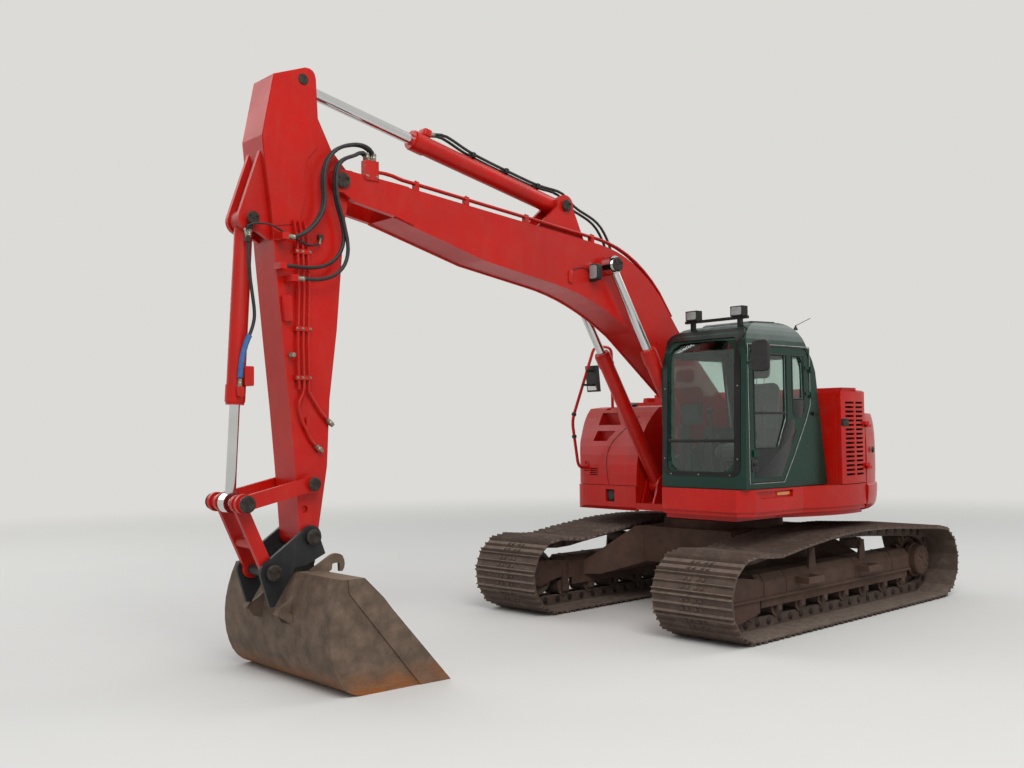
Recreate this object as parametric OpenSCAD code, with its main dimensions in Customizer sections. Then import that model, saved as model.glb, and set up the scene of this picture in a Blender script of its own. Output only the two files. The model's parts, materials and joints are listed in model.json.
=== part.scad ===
// Crawler excavator with a compact rear end, a one-piece boom and a ditching bucket.
// X points forward along the boom, Y to the cab's side and Z up, from the ground under the slew centre.
// Outlines in the XZ plane are lists of [x, z] points.

/* [Undercarriage] */
// Distance between the centres of the two tracks
track_gauge = 2390; // [2300:5:2490]
// Distance between the idler's and the sprocket's centre
tumbler_distance = 3660; // [3500:10:3800]
// Width of a track shoe
shoe_w = 880; // [700:10:900]
// Nominal length of a track shoe
shoe_pitch = 190; // [175:1:205]
// Height of the track's round ends, over the grousers
track_end_h = 800; // [760:5:830]
// Height of a grouser rib over its shoe
grouser_h = 26; // [18:1:32]
// Thickness of a track shoe
shoe_t = 12; // [8:1:16]
// Height of the chain's links
link_h = 98; // [85:1:110]
// Width of one chain rail
rail_w = 45; // [30:1:55]
// Distance from the chain's centre to a rail's centre
rail_offset = 75; // [65:1:90]
// Number of bottom rollers on a side
roller_count = 8; // [6:1:9]
// Radius of a bottom roller's tread
roller_r = 78; // [68:1:84]
// Width of a track frame's box
frame_w = 310; // [290:2:330]
// Height of a track frame's top over the ground
frame_top = 545; // [520:5:570]
// Height of the box's underside over the ground
frame_bottom = 312; // [306:1:330]
// Turn of the undercarriage under the house
undercarriage_turn = 3.05; // [-20:0.05:20]

/* [House] */
// Height of the slewing platform's underside
deck_z = 1040; // [1020:2:1080]
// Thickness of the platform's plate
deck_t = 70; // [40:2:90]
// Swing radius of the counterweight
tail_r = 1620; // [1600:5:1680]
// Radius of the skirts and doors beside the cab
house_r = 1600; // [1585:1:1605]
// Thickness of the sheet metal doors and covers
panel_t = 40; // [25:1:45]
// Height of the skirt's top edge
skirt_top = 1335; // [1310:5:1350]
// Height of the skirt's underside
skirt_bottom = 1087; // [1070:1:1110]
// Height of the counterweight's top
weight_top = 2285; // [2250:5:2330]
// Height of the counterweight's underside
weight_bottom = 1056; // [1045:1:1070]
// Wall of the counterweight round the engine bay
weight_wall = 220; // [180:5:260]

/* [Cab] */
// Width of the cab
cab_w = 1010; // [980:2:1020]
// Distance from the machine's centre plane to the cab's inner side
cab_y = 440; // [430:1:460]
// Thickness of the cab's walls and of its door
cab_wall = 45; // [30:1:55]
// Thickness of the window panes
pane_t = 6; // [4:0.5:8]

/* [Boom] */
// Height of the boom's foot pin
foot_z = 1760; // [1740:5:1780]
// Distance of the boom's foot pin behind the slew centre
foot_back = 60; // [40:5:80]
// Width of the boom
boom_w = 400; // [380:2:410]
// Thickness of the boom's side plates
boom_plate = 14; // [8:1:20]
// Distance that the top and belly plates lie inside the side plates' edges
boom_inset = 12; // [6:1:20]
// Thickness of the platform's boom brackets
bracket_t = 24; // [16:1:26]
// Distance from the boom's centre plane to a boom cylinder's centre
boom_cyl_y = 318; // [316:1:322]
// Outer radius of a boom cylinder
boom_cyl_r = 75; // [66:1:76]
// Radius of a boom cylinder's rod
boom_rod_r = 43; // [38:1:48]

/* [Arm] */
// Width of the arm
arm_w = 320; // [300:2:326]
// Outer radius of the arm cylinder
arm_cyl_r = 82; // [72:1:88]
// Radius of the arm cylinder's rod
arm_rod_r = 48; // [40:1:54]
// Outer radius of the bucket cylinder
bucket_cyl_r = 70; // [60:1:76]
// Radius of the bucket cylinder's rod
bucket_rod_r = 40; // [34:1:45]

/* [Bucket] */
// Width of the ditching bucket
bucket_w = 1660; // [1500:10:1700]
// Thickness of the bucket's sheet
bucket_t = 16; // [10:1:22]
// Distance from the coupler's centre plane to a side plate's centre
coupler_y = 185; // [182:1:190]
// Thickness of the coupler's side plates
coupler_t = 30; // [20:1:32]

/* [Hidden] */
$fn = 64;
wide_fn = 240;      // for circles wider than a metre

body_red = "firebrick";
dark_red = "darkred";
rust_brown = "saddlebrown";
steel_grey = "dimgray";
cab_green = "darkslategray";
trim_black = [0.12, 0.12, 0.12];
bright_steel = "silver";
glass_blue = [0.6, 0.75, 0.8, 0.4];

seat_gap = 0.3;     // gap between a piece and the curved seat that carries it
run_gap = 6;        // gap between moving pieces beside each other
pin_gap = 0.05;     // radial running clearance of a pin in its bore

// Joint pins of the working arm
foot_pin = [-foot_back, foot_z];
nose_pin = [5000, 3920];
boom_cyl_base = [690, 1300];
boom_cyl_eye = [2030, 3495];
arm_cyl_base = [2462, 4052];
arm_cyl_eye = [5317, 4689];
bucket_cyl_base = [5747, 3544];
rocker_pin = [5294, 1519];
link_pin = [5863, 1394];
tip_pin = [5283, 1110];
coupler_pin = [5622, 867];

// Routes of the hoses at the boom's nose: [x, z, distance outward from the hose's first place]
hose_r = 15;
hose_y0 = 184;
hose_y1 = 216;
upper_hose = [[4700, 4120, 0], [4700, 4165, 0], [4732, 4210, 2], [4792, 4232, 8], [4865, 4230, 20], [4940, 4212, 36],
    [5015, 4185, 50], [5090, 4140, 56], [5150, 4070, 56], [5185, 3985, 56], [5196, 3895, 56], [5192, 3810, 56],
    [5190, 3725, 56], [5210, 3640, 56], [5260, 3555, 56], [5330, 3480, 56], [5410, 3430, 56], [5470, 3411, 56],
    [5520, 3411, 56]];
lower_hose = [[4756, 4120, 0], [4756, 4145, 0], [4782, 4172, 2], [4830, 4172, 10], [4885, 4140, 25], [4945, 4115, 45],
    [5005, 4085, 56], [5055, 4040, 56], [5082, 3965, 56], [5088, 3880, 56], [5082, 3790, 56], [5062, 3700, 56],
    [5032, 3610, 56], [5010, 3520, 56], [5005, 3430, 56], [5032, 3345, 56], [5092, 3270, 56], [5175, 3220, 56],
    [5270, 3195, 56], [5370, 3188, 56], [5430, 3188, 56], [5520, 3188, 56]];
lowest_hose = concat([for (i = [0:13]) lower_hose[i]], [[4990, 3430, 56], [4986, 3335, 56], [5015, 3240, 56],
    [5080, 3165, 56], [5165, 3120, 56], [5255, 3100, 56], [5340, 3095, 56], [5440, 3095, 56]]);
// Brackets on the arm: [x of the hose's end, z, outward from the second hose]
hose_brackets = [[5520, 3411, 76], [5520, 3188, 44], [5440, 3095, 76]];
function hose_route(points, y) = [for (p = points) [p[0], y + p[2], p[1]]];

// Plane geometry
function polar(c, r, a) = [c[0] + r * cos(a), c[1] + r * sin(a)];
function arc(c, r, a0, a1, n) = [for (i = [0:n]) polar(c, r, a0 + (a1 - a0) * i / n)];
function mix(p, q, t) = p + (q - p) * t;
// A corner at b rounded by a curve that starts at a and ends at c
function bend(a, b, c, n) = [for (i = [0:n]) let (t = i / n) mix(mix(a, b, t), mix(b, c, t), t)];
function lift(points, dz) = [for (p = points) [p[0], p[1] + dz]];
function angle_to(p, q) = atan2(q[1] - p[1], q[0] - p[0]);

// A plate whose outline lies in the XZ plane, from y0 to y1
module plate(points, y0, y1) {
    translate([0, y1, 0]) rotate([90, 0, 0]) linear_extrude(y1 - y0) polygon(points);
}

// The same plate on both sides of the centre plane
module plates(points, y0, y1) {
    plate(points, y0, y1);
    plate(points, -y1, -y0);
}

// A cylinder along Y
module bar(p, r, y0, y1) {
    translate([p[0], y1, p[1]]) rotate([90, 0, 0]) cylinder(h = y1 - y0, r = r);
}

module bars(p, r, y0, y1) {
    bar(p, r, y0, y1);
    bar(p, r, -y1, -y0);
}

// A cylinder in the XZ plane from distance a to distance b along the line from p to q
module rod_along(p, q, y, r, a, b) {
    turn = angle_to(p, q);
    translate([p[0], y, p[1]]) rotate([0, 90 - turn, 0]) translate([0, 0, a]) cylinder(h = b - a, r = r);
}

// A block given by its lowest and highest corner
module block(low, high) {
    translate(low) cube(high - low);
}

// A round tube or hose swept along its route. The side vector is never along the route.
function unit(v) = v / norm(v);
function route_dir(route, i) =
    unit(route[min(i + 1, len(route) - 1)] - route[max(i - 1, 0)]);
module tube(route, r, sides, side = [0, 1, 0]) {
    last = len(route) - 1;
    rings = [for (i = [0:last])
        let (d = route_dir(route, i), u = unit(cross(side, d)), v = cross(d, u))
        for (k = [0:sides - 1]) route[i] + r * (u * cos(360 * k / sides) + v * sin(360 * k / sides))];
    walls = [for (i = [0:last - 1]) for (k = [0:sides - 1])
        let (n = (k + 1) % sides)
        each [[i * sides + k, (i + 1) * sides + k, (i + 1) * sides + n],
            [i * sides + k, (i + 1) * sides + n, i * sides + n]]];
    caps = [[for (k = [0:sides - 1]) k], [for (k = [sides - 1:-1:0]) last * sides + k]];
    polyhedron(rings, concat(walls, caps));
}

// Undercarriage

half_gauge = track_gauge / 2;
half_tumbler = tumbler_distance / 2;
tread_h = grouser_h + shoe_t;
end_r = track_end_h / 2 - tread_h;
end_z = track_end_h / 2;
// The upper run hangs over two carrier rollers: [x as a share of half the tumbler distance, height]
upper_run = [[0.79, 725], [0.57, 778], [0.21, 846], [-0.055, 859], [-0.33, 849], [-0.69, 802]];
run_points = [for (p = upper_run) [p[0] * half_tumbler, p[1] - 762 + end_z + end_r]];
front_leave = 90 + atan2(end_z + end_r - run_points[0][1], half_tumbler - run_points[0][0]);
rear_meet = 90 + atan2(run_points[5][1] - end_z - end_r, run_points[5][0] + half_tumbler);
chain_path = concat([[0, tread_h]],
    arc([half_tumbler, end_z], end_r, -90, front_leave, 24), run_points,
    arc([-half_tumbler, end_z], end_r, rear_meet, 270, 24), [[0, tread_h]]);

function lengths(path) = [for (i = 0, s = 0; i < len(path); s = s + (i < len(path) - 1 ?
    norm(path[i + 1] - path[i]) : 0), i = i + 1) s];
path_s = lengths(chain_path);
path_len = path_s[len(path_s) - 1];
shoe_count = round(path_len / shoe_pitch);
pitch = path_len / shoe_count;
// The chain's joints, one per shoe
joints = [for (k = [0:shoe_count - 1])
    let (s = k * pitch, i = max([for (j = [0:len(path_s) - 2]) path_s[j] <= s ? j : 0]))
    mix(chain_path[i], chain_path[i + 1], (s - path_s[i]) / (path_s[i + 1] - path_s[i]))];
// A point at share u of shoe k, v outside the chain
function on_shoe(k, u, v) =
    let (a = joints[k], b = joints[(k + 1) % shoe_count], d = unit(b - a))
    mix(a, b, u) + v * [d[1], -d[0]];
// One shoe's section with its three ribs: [share of the shoe's length, height]
shoe_section = [[0.01, shoe_t - 4], [0.07, tread_h], [0.15, shoe_t],
    [0.43, shoe_t], [0.5, tread_h], [0.57, shoe_t],
    [0.85, shoe_t], [0.93, tread_h], [0.99, shoe_t - 4]];
rail_sunk = 3;
inner_mid_r = sqrt(end_r * end_r - pitch * pitch / 4) - link_h;
idler_r = inner_mid_r * cos(asin(pitch / 2 / end_r)) - 1;

module at_left_track() {
    rotate([0, 0, undercarriage_turn]) translate([0, half_gauge, 0]) children();
}

module at_right_track() {
    rotate([0, 0, undercarriage_turn]) translate([0, -half_gauge, 0]) mirror([0, 1, 0]) children();
}

module track() {
    color(rust_brown) {
        difference() {
            plate([for (k = [0:shoe_count - 1]) for (p = shoe_section) on_shoe(k, p[0], p[1])],
                -shoe_w / 2, shoe_w / 2);
            plate(joints, -shoe_w / 2 - 1, shoe_w / 2 + 1);
        }
        for (side = [-1, 1])
            difference() {
                plate([for (k = [0:shoe_count - 1]) on_shoe(k, 0, rail_sunk)],
                    side * rail_offset - rail_w / 2, side * rail_offset + rail_w / 2);
                plate([for (k = [0:shoe_count - 1]) on_shoe(k, 0.5, -link_h)],
                    side * rail_offset - rail_w / 2 - 1, side * rail_offset + rail_w / 2 + 1);
            }
    }
}

// Rollers and idler
rail_out = rail_offset + rail_w / 2;
flange_w = 16;
roller_z = tread_h + link_h + roller_r + seat_gap;
roller_span = 0.79 * tumbler_distance;
roller_xs = [for (i = [0:roller_count - 1]) -roller_span / 2 - 20 + roller_span * i / (roller_count - 1)];
shaft_r = 32;
hanger_in = rail_out + flange_w + 6;
hanger_out = frame_w / 2 - 8;
carrier_r = 62;
carrier_xs = [0.21 * half_tumbler, -0.33 * half_tumbler];
carrier_zs = [run_points[2][1] - link_h - carrier_r - 8, run_points[4][1] - link_h - carrier_r - 8];
carrier_shaft_r = 26;
yoke_in = rail_out + 9;
yoke_out = yoke_in + 34;
idler_shaft_r = 45;
// Half of the idler's section: [radius, distance from its middle]
idler_half = [[0, -rail_out - 2], [90, -rail_out - 2], [100, -rail_out + 22], [idler_r - 45, -rail_out + 22],
    [idler_r - 38, -rail_out - 2], [idler_r, -rail_out - 2], [idler_r, -rail_offset + rail_w / 2 + 2],
    [idler_r + 16, -rail_offset + rail_w / 2 + 8]];

module wheel_along_y(r, half_w, rim_r, rim_w) {
    rotate([90, 0, 0]) rotate_extrude($fn = 48) polygon([[0, -half_w], [rim_r, -half_w],
        [rim_r, -half_w + rim_w - 6], [r, -half_w + rim_w - 1], [r, half_w - rim_w + 1],
        [rim_r, half_w - rim_w + 6], [rim_r, half_w], [0, half_w]]);
}

module rollers() {
    color(rust_brown) {
        for (x = roller_xs)
            translate([x, 0, roller_z]) {
                wheel_along_y(roller_r, rail_out + flange_w, roller_r + 12, flange_w);
                rotate([90, 0, 0]) cylinder(h = 2 * hanger_out, r = shaft_r, center = true);
            }
        for (i = [0, 1])
            translate([carrier_xs[i], 0, carrier_zs[i]]) {
                rotate([90, 0, 0]) cylinder(h = 2 * rail_out + 6, r = carrier_r, center = true);
                rotate([-90, 0, 0]) cylinder(h = rail_out + 34, r = carrier_shaft_r);
            }
        translate([half_tumbler, 0, end_z]) {
            rotate([90, 0, 0]) rotate_extrude() polygon(concat(idler_half,
                [for (i = [len(idler_half) - 1:-1:0]) [idler_half[i][0], -idler_half[i][1]]]));
            rotate([90, 0, 0]) cylinder(h = 2 * yoke_out, r = idler_shaft_r, center = true);
        }
    }
}

// Final drive: hub, sprocket between the chain's rails and the travel motor inside
sprocket_teeth = 21;
sprocket_root = idler_r - 6;
sprocket_tip = end_r - 40;
hub_r = 190;
hub_out = 205;
motor_end = hub_out + 165;    // through the ring on the track frame
function sprocket_outline() = [for (i = [0:sprocket_teeth - 1])
    for (p = [[-0.5, sprocket_root], [-0.3, sprocket_root], [-0.12, sprocket_tip], [0.12, sprocket_tip],
        [0.3, sprocket_root]])
    polar([0, 0], p[1], (i + p[0]) * 360 / sprocket_teeth)];

module final_drive() {
    color(rust_brown) translate([-half_tumbler, 0, end_z]) {
        plate(sprocket_outline(), -22, 22);
        rotate([90, 0, 0]) translate([0, 0, -hub_out]) rotate_extrude() polygon(concat([[0, 0]],
            bend([hub_r - 70, 0], [hub_r - 30, 0], [hub_r - 25, 26], 3), [[hub_r - 25, 90], [hub_r, 92],
            [hub_r, 150], [hub_r - 40, 172], [hub_r - 40, motor_end], [0, motor_end]]));
    }
}

// Track frame: a box with a sloped top, roller hangers, idler yoke and motor ring
box_front = half_tumbler - 440;
box_rear = -half_tumbler + 240;
skirt_low = 238;
half_frame = frame_w / 2;
step_xs = [600, -560];

module track_frame() {
    color(rust_brown) {
        difference() {
            union() {
                translate([box_rear, 0, 0]) rotate([90, 0, 90]) linear_extrude(box_front - box_rear)
                    polygon([[-half_frame, frame_bottom], [half_frame, frame_bottom],
                        [half_frame, frame_top - 70], [half_frame - 60, frame_top],
                        [-half_frame + 60, frame_top], [-half_frame, frame_top - 70]]);
                for (side = [-1, 1])
                    translate([box_rear + 60, side * (half_frame - 7) - 7, skirt_low])
                        cube([box_front - box_rear - 120, 14, frame_bottom - skirt_low + 1]);
                translate([box_rear + 20, half_frame - 2, frame_bottom + 6])
                    cube([half_tumbler + 150 - box_rear, 34, 16]);
                // guard plate beside the idler
                plate(concat([[box_front - 30, frame_top - 40], [box_front - 30, 200]],
                    arc([half_tumbler, end_z], end_r - 45, -75, 40, 12)), half_frame - 7, half_frame + 5);
            }
            for (x = roller_xs)
                translate([x, 0, roller_z]) rotate([90, 0, 0])
                    cylinder(h = 2 * hanger_out, r = roller_r + 20, center = true);
            // slot for the sprocket
            bar([-half_tumbler, end_z], sprocket_tip + 8, -32, 32);
        }
        for (x = roller_xs)
            for (side = [-1, 1])
                difference() {
                    translate([x - 45, side > 0 ? hanger_in : -hanger_out, roller_z - 42])
                        cube([90, hanger_out - hanger_in, frame_top - 80 - roller_z]);
                    translate([x, 0, roller_z]) rotate([90, 0, 0])
                        cylinder(h = 2 * hanger_out + 2, r = shaft_r + seat_gap, center = true);
                }
        yoke();
        drive_ring();
        for (i = [0, 1])
            carrier_post(carrier_xs[i], carrier_zs[i]);
        for (x = step_xs)
            step(x);
    }
}

module yoke() {
    yoke_outline = concat([[box_front - 20, 340], [half_tumbler - 290, 325], [half_tumbler - 110, 285]],
        bend([half_tumbler - 40, 262], [half_tumbler + 90, 262], [half_tumbler + 90, end_z], 4),
        bend([half_tumbler + 90, end_z], [half_tumbler + 90, 530], [half_tumbler - 40, 530], 4),
        [[box_front - 20, 500]]);
    difference() {
        plates(yoke_outline, yoke_in, yoke_out);
        bar([half_tumbler, end_z], idler_shaft_r + seat_gap, -yoke_out - 1, yoke_out + 1);
    }
}

module drive_ring() {
    ring_outline = concat([[box_rear + 20, 300], [box_rear + 20, 500]],
        arc([-half_tumbler, end_z], hub_r - 20, 70, 290, 18));
    difference() {
        plate(ring_outline, -half_frame + 8, -rail_out - 8);
        bar([-half_tumbler, end_z], hub_r - 40 + seat_gap, -half_frame, -rail_out);
    }
}

module carrier_post(x, z) {
    difference() {
        plate([[x - 70, frame_top - 40], [x + 70, frame_top - 40], [x + 42, z + 40], [x - 42, z + 40]],
            rail_out + 8, rail_out + 32);
        bar([x, z], carrier_shaft_r + seat_gap, rail_out, rail_out + 40);
    }
}

// A step of bent bar on the frame's outer face
module step(x) {
    step_z = 440;
    reach = 150;
    for (dx = [-130, 130])
        translate([x + dx - 12, half_frame - 2, step_z - 30]) cube([24, reach, 60]);
    translate([x - 142, half_frame + reach - 26, step_z - 30]) cube([284, 26, 60]);
}

module track_left() at_left_track() track();
module track_right() at_right_track() track();
module rollers_left() at_left_track() rollers();
module rollers_right() at_right_track() rollers();
module final_drive_left() at_left_track() final_drive();
module final_drive_right() at_right_track() final_drive();
module track_frame_left() at_left_track() track_frame();
module track_frame_right() at_right_track() track_frame();

// Carbody: four legs from the slew ring's seat down to the track frames
ring_gap = 6;
ring_r = 640;
ring_low_top = deck_z - 100;
carbody_bottom = 470;
carbody_top = 850;

module carbody() {
    reach = half_gauge - half_frame;
    color(rust_brown) rotate([0, 0, undercarriage_turn]) {
        intersection() {
            translate([0, 0, carbody_bottom - 160]) linear_extrude(carbody_top - carbody_bottom + 160)
                difference() {
                    polygon([[700, 560], [1150, reach], [-1150, reach], [-700, 560],
                        [-700, -560], [-1150, -reach], [1150, -reach], [700, -560]]);
                    for (side = [-1, 1])
                        translate([0, side * (reach + 60)]) scale([2.1, 1]) circle(r = 330);
                }
            rotate([90, 0, 90]) linear_extrude(2600, center = true)
                polygon([[-reach, 330], [-reach, frame_top - 75], [-620, carbody_top], [620, carbody_top],
                    [reach, frame_top - 75], [reach, 330], [reach - 140, 330], [520, carbody_bottom],
                    [-520, carbody_bottom], [-reach + 140, 330]]);
        }
        difference() {
            translate([0, 0, carbody_top - 1]) cylinder(h = ring_low_top - carbody_top + 1, r = ring_r);
            translate([0, 0, carbody_top + 10]) cylinder(h = 100, r = ring_r - 110);
        }
    }
}

// A lug with a hole for a shackle at each end of the carbody
tow_r = 34;
tow_t = 40;
tow_z = carbody_bottom + 50;
module tow_lugs() {
    lug_x = 700;
    color(rust_brown) rotate([0, 0, undercarriage_turn]) for (turn = [0, 180])
        rotate([0, 0, turn]) difference() {
            union() {
                block([lug_x, -60, tow_z], [lug_x + 100, 60, tow_z + tow_t]);
                translate([lug_x + 100, 0, tow_z]) cylinder(h = tow_t, r = 60);
            }
            translate([lug_x + 100, 0, tow_z - 1]) cylinder(h = tow_t + 2, r = tow_r);
        }
}

// House

deck_top = deck_z + deck_t;
cab_front = 1500;
cab_left = cab_y + cab_w;
skirt_y = cab_left + 22;
bracket_in = boom_w / 2 + run_gap;
bracket_out = bracket_in + bracket_t;
door_rear_x = -335;
bay_rear_x = -1180;
hood_rear_x = -1230;
door_front_x = 150;

module slewing_platform() {
    color(dark_red) {
        difference() {
            translate([0, 0, ring_low_top + ring_gap]) cylinder(h = deck_z - ring_low_top - ring_gap + 1, r = ring_r - 30);
            translate([0, 0, ring_low_top]) cylinder(h = 60, r = ring_r - 130);
        }
        // spigot in the carbody's ring
        difference() {
            translate([0, 0, carbody_top + 20]) cylinder(h = ring_low_top + ring_gap + 1 - carbody_top - 20,
                r = ring_r - 110 - seat_gap);
            translate([0, 0, carbody_top + 19]) cylinder(h = 200, r = ring_r - 130);
        }
        translate([0, 0, deck_z]) linear_extrude(deck_t) {
            intersection() {
                circle(r = house_r - panel_t - 20, $fn = wide_fn);
                union() {
                    translate([door_rear_x, -lug_out - 12]) square([930 - door_rear_x, 2 * tail_r]);
                    translate([door_rear_x, -tail_r]) square([right_front_x - 40 - door_rear_x, tail_r]);
                }
            }
            intersection() {
                circle(r = tail_r - weight_wall - seat_gap, $fn = wide_fn);
                translate([bay_rear_x, -tail_r]) square([door_rear_x - bay_rear_x + 1, 2 * tail_r]);
            }
            translate([0, cab_y + 5]) square([cab_front - panel_t - 20, 850]);
        }
        for (side = [-1, 1]) {
            boom_bracket(side);
            cylinder_lug(side);
        }
        for (side = [-1, 1])
            hood_ear(side);
        // bulkhead between the engine bay and the boom's foot
        block([door_rear_x - 10, -left_in, deck_top - 1], [door_rear_x, left_in, weight_top - 80]);
    }
}

// Hinge of the engine's hood: an ear with its pin on the bulkhead, and the hood's knuckle on that pin
hood_axis = [-342, 2300];
hood_hinge_y = 400;
module hood_ear(side) {
    y = side > 0 ? hood_hinge_y : -hood_hinge_y - 30;
    block([door_rear_x - 10, y, weight_top - 90], [door_rear_x - 3, y + 30, hood_axis[1]]);
    bar(hood_axis, 8, y, y + 30);
    bar(hood_axis, 5, side > 0 ? y : y - 31, side > 0 ? y + 61 : y + 30);
}
module hood_knuckle(side) {
    y = side > 0 ? hood_hinge_y + 31 : -hood_hinge_y - 61;
    difference() {
        union() {
            block([hood_axis[0] - 20, y, hood_axis[1] - 8], [hood_axis[0], y + 30, hood_axis[1] + 8]);
            bar(hood_axis, 8, y, y + 30);
        }
        bar(hood_axis, 5 + pin_gap, y - 1, y + 31);
    }
}

// Hinge of a side door: a leaf with its pin on the counterweight, and the door's leaf on that pin
side_axis = [-338, 1595];
side_hinge_zs = [1480, 1900];
module side_hinge_fixed(side) {
    for (z = side_hinge_zs) {
        block([side_axis[0] - 57, side > 0 ? 1540 : -1600, z], [side_axis[0], side > 0 ? 1600 : -1540, z + 29]);
        translate([side_axis[0], side * side_axis[1], z]) cylinder(h = 29, r = 14);
        translate([side_axis[0], side * side_axis[1], z]) cylinder(h = 59, r = 6);
    }
}
module side_hinge_moving(side) {
    for (z = side_hinge_zs)
        difference() {
            union() {
                block([side_axis[0], side > 0 ? 1560 : -1600, z + 30], [side_axis[0] + 48, side > 0 ? 1600 : -1560, z + 59]);
                translate([side_axis[0], side * side_axis[1], z + 30]) cylinder(h = 29, r = 14);
            }
            translate([side_axis[0], side * side_axis[1], z + 29]) cylinder(h = 31, r = 6 + pin_gap);
        }
}

// One of the two upright plates that hold the boom's foot and the boom cylinders
module boom_bracket(side) {
    outline = concat([[-520, deck_top - 1], [-300, 1500]],
        bend([-200, 1840], [-170, 1940], [-60, 1940], 5), bend([-60, 1940], [60, 1940], [110, 1830], 5),
        [[300, 1560], [560, 1420]], bend([640, 1420], [840, 1420], [840, 1260], 5), [[900, deck_top - 1]]);
    difference() {
        plate(outline, side > 0 ? bracket_in : -bracket_out, side > 0 ? bracket_out : -bracket_in);
        bar(foot_pin, 55 + pin_gap, -bracket_out - 1, bracket_out + 1);
        bar(boom_cyl_base, 45 + pin_gap, -bracket_out - 1, bracket_out + 1);
    }
    // flange across the bracket's rear edge
    translate([-480, side > 0 ? bracket_out - 1 : -bracket_out - 60, deck_top - 1]) cube([900, 61, 40]);
}

// The outer lug that carries a boom cylinder's base pin
lug_in = boom_cyl_y + boom_cyl_r + 8;
lug_out = lug_in + 22;
module cylinder_lug(side) {
    outline = concat([[560, deck_top - 1]], arc(boom_cyl_base, 105, 180, 0, 12), [[860, deck_top - 1]]);
    difference() {
        plate(outline, side > 0 ? lug_in : -lug_out, side > 0 ? lug_out : -lug_in);
        bar(boom_cyl_base, 45 + pin_gap, -lug_out - 1, lug_out + 1);
    }
}

// Plan outline of the left skirt and floor: forward corner cut, then along the house's circle
function left_outline(inset) =
    let (r = house_r - inset, y = skirt_y - inset, a = asin(y / r))
    concat([[cab_front + 10 - inset, cab_y + 10], [cab_front + 10 - inset, skirt_y - 130],
        [cab_front - 120, y]],
        arc([0, 0], r, a, 101.8, 14), [[door_rear_x, cab_y + 10]]);

module left_skirt() {
    color(body_red) {
        difference() {
            union() {
                translate([0, 0, skirt_bottom]) linear_extrude(60) polygon(left_outline(18));
                translate([0, 0, skirt_bottom + 40]) linear_extrude(skirt_top - skirt_bottom - 40)
                    polygon(left_outline(0));
            }
            translate([0, 0, skirt_bottom - 1]) linear_extrude(skirt_top - skirt_bottom - 7)
                polygon(left_outline(50));
            // opening in the top for the cab's floor and for the rear housing
            block([200, cab_y, skirt_top - 20], [cab_front - 60, cab_left - 60, skirt_top + 10]);
            block([door_rear_x - 10, cab_y, skirt_top - 20], [120, house_r - 130, skirt_top + 10]);
            // long recess under the cab's door
            plate([[1370, skirt_top - 17], [1300, skirt_top - 85], [800, skirt_top - 85], [790, skirt_top - 17]],
                skirt_y - 30, skirt_y + 1);
            // recess of the marker lamp
            translate([250, house_r - 60, 1200]) rotate([90, 0, 0]) cylinder(h = 20, r = 26);
            // right side stays open towards the deck
            block([door_rear_x - 10, cab_y, skirt_bottom - 1], [cab_front - 60, cab_y + 12, skirt_top - 8]);
            block([door_rear_x - 10, cab_y, skirt_bottom - 1], [-290, house_r - 70, skirt_top - 8]);
        }
        // cross members on the platform under the cab and the rear housing
        for (x = [-300, 130, 700, 1300])
            intersection() {
                block([x, cab_y + 20, deck_top], [x + 40, house_r, skirt_top - 7]);
                translate([0, 0, deck_top - 1]) linear_extrude(400) polygon(left_outline(49));
            }
    }
}

// Counterweight: a bulged ring segment round the engine bay
weight_section = concat([[0, weight_bottom], [tail_r - 110, weight_bottom]],
    bend([tail_r - 110, weight_bottom], [tail_r - 20, weight_bottom], [tail_r - 8, weight_bottom + 110], 4),
    [[tail_r, weight_bottom + 194], [tail_r, weight_bottom + 254], [tail_r - 18, weight_bottom + 269],
        [tail_r - 12, weight_bottom + 444]],
    bend([tail_r - 14, weight_bottom + 694], [tail_r - 16, weight_bottom + 890], [tail_r - 50, weight_top - 245], 4),
    [[tail_r - 130, weight_top - 235], [tail_r - 140, weight_top - 85], [tail_r - 110, weight_top - 60],
        [tail_r - 120, weight_top - 5], [tail_r - 200, weight_top], [0, weight_top]]);

// Bosses on the counterweight with threaded holes for the lifting eyes
lift_x = -1295;
lift_y = 220;
lift_r = 21;
boss_r = 46;
boss_h = 60;
lift_deep = 50;
module lifting_bosses() {
    color(body_red) for (y = [-lift_y, lift_y])
        translate([lift_x, y, weight_top]) difference() {
            cylinder(h = boss_h, r = boss_r);
            translate([0, 0, boss_h - lift_deep]) cylinder(h = lift_deep + 1, r = lift_r);
        }
}

hood_r = tail_r - weight_wall + 30;
module counterweight() {
    color(body_red) {
        weight_body();
        side_hinge_fixed(1);
        side_hinge_fixed(-1);
    }
}

module weight_body() {
    difference() {
        rotate_extrude($fn = wide_fn) polygon(weight_section);
        block([door_rear_x - 10, -2000, 900], [2000, 2000, 2500]);
        intersection() {
            translate([0, 0, 900]) cylinder(h = 1600, r = tail_r - weight_wall, $fn = wide_fn);
            block([bay_rear_x, -2000, 900], [2000, 2000, 2500]);
        }
        // seats of the hood in the upper edge
        intersection() {
            translate([0, 0, weight_top - 90]) cylinder(h = 200, r = hood_r + 10, $fn = wide_fn);
            block([hood_rear_x - 10, -2000, 900], [2000, 2000, 2500]);
        }
    }
}

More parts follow.
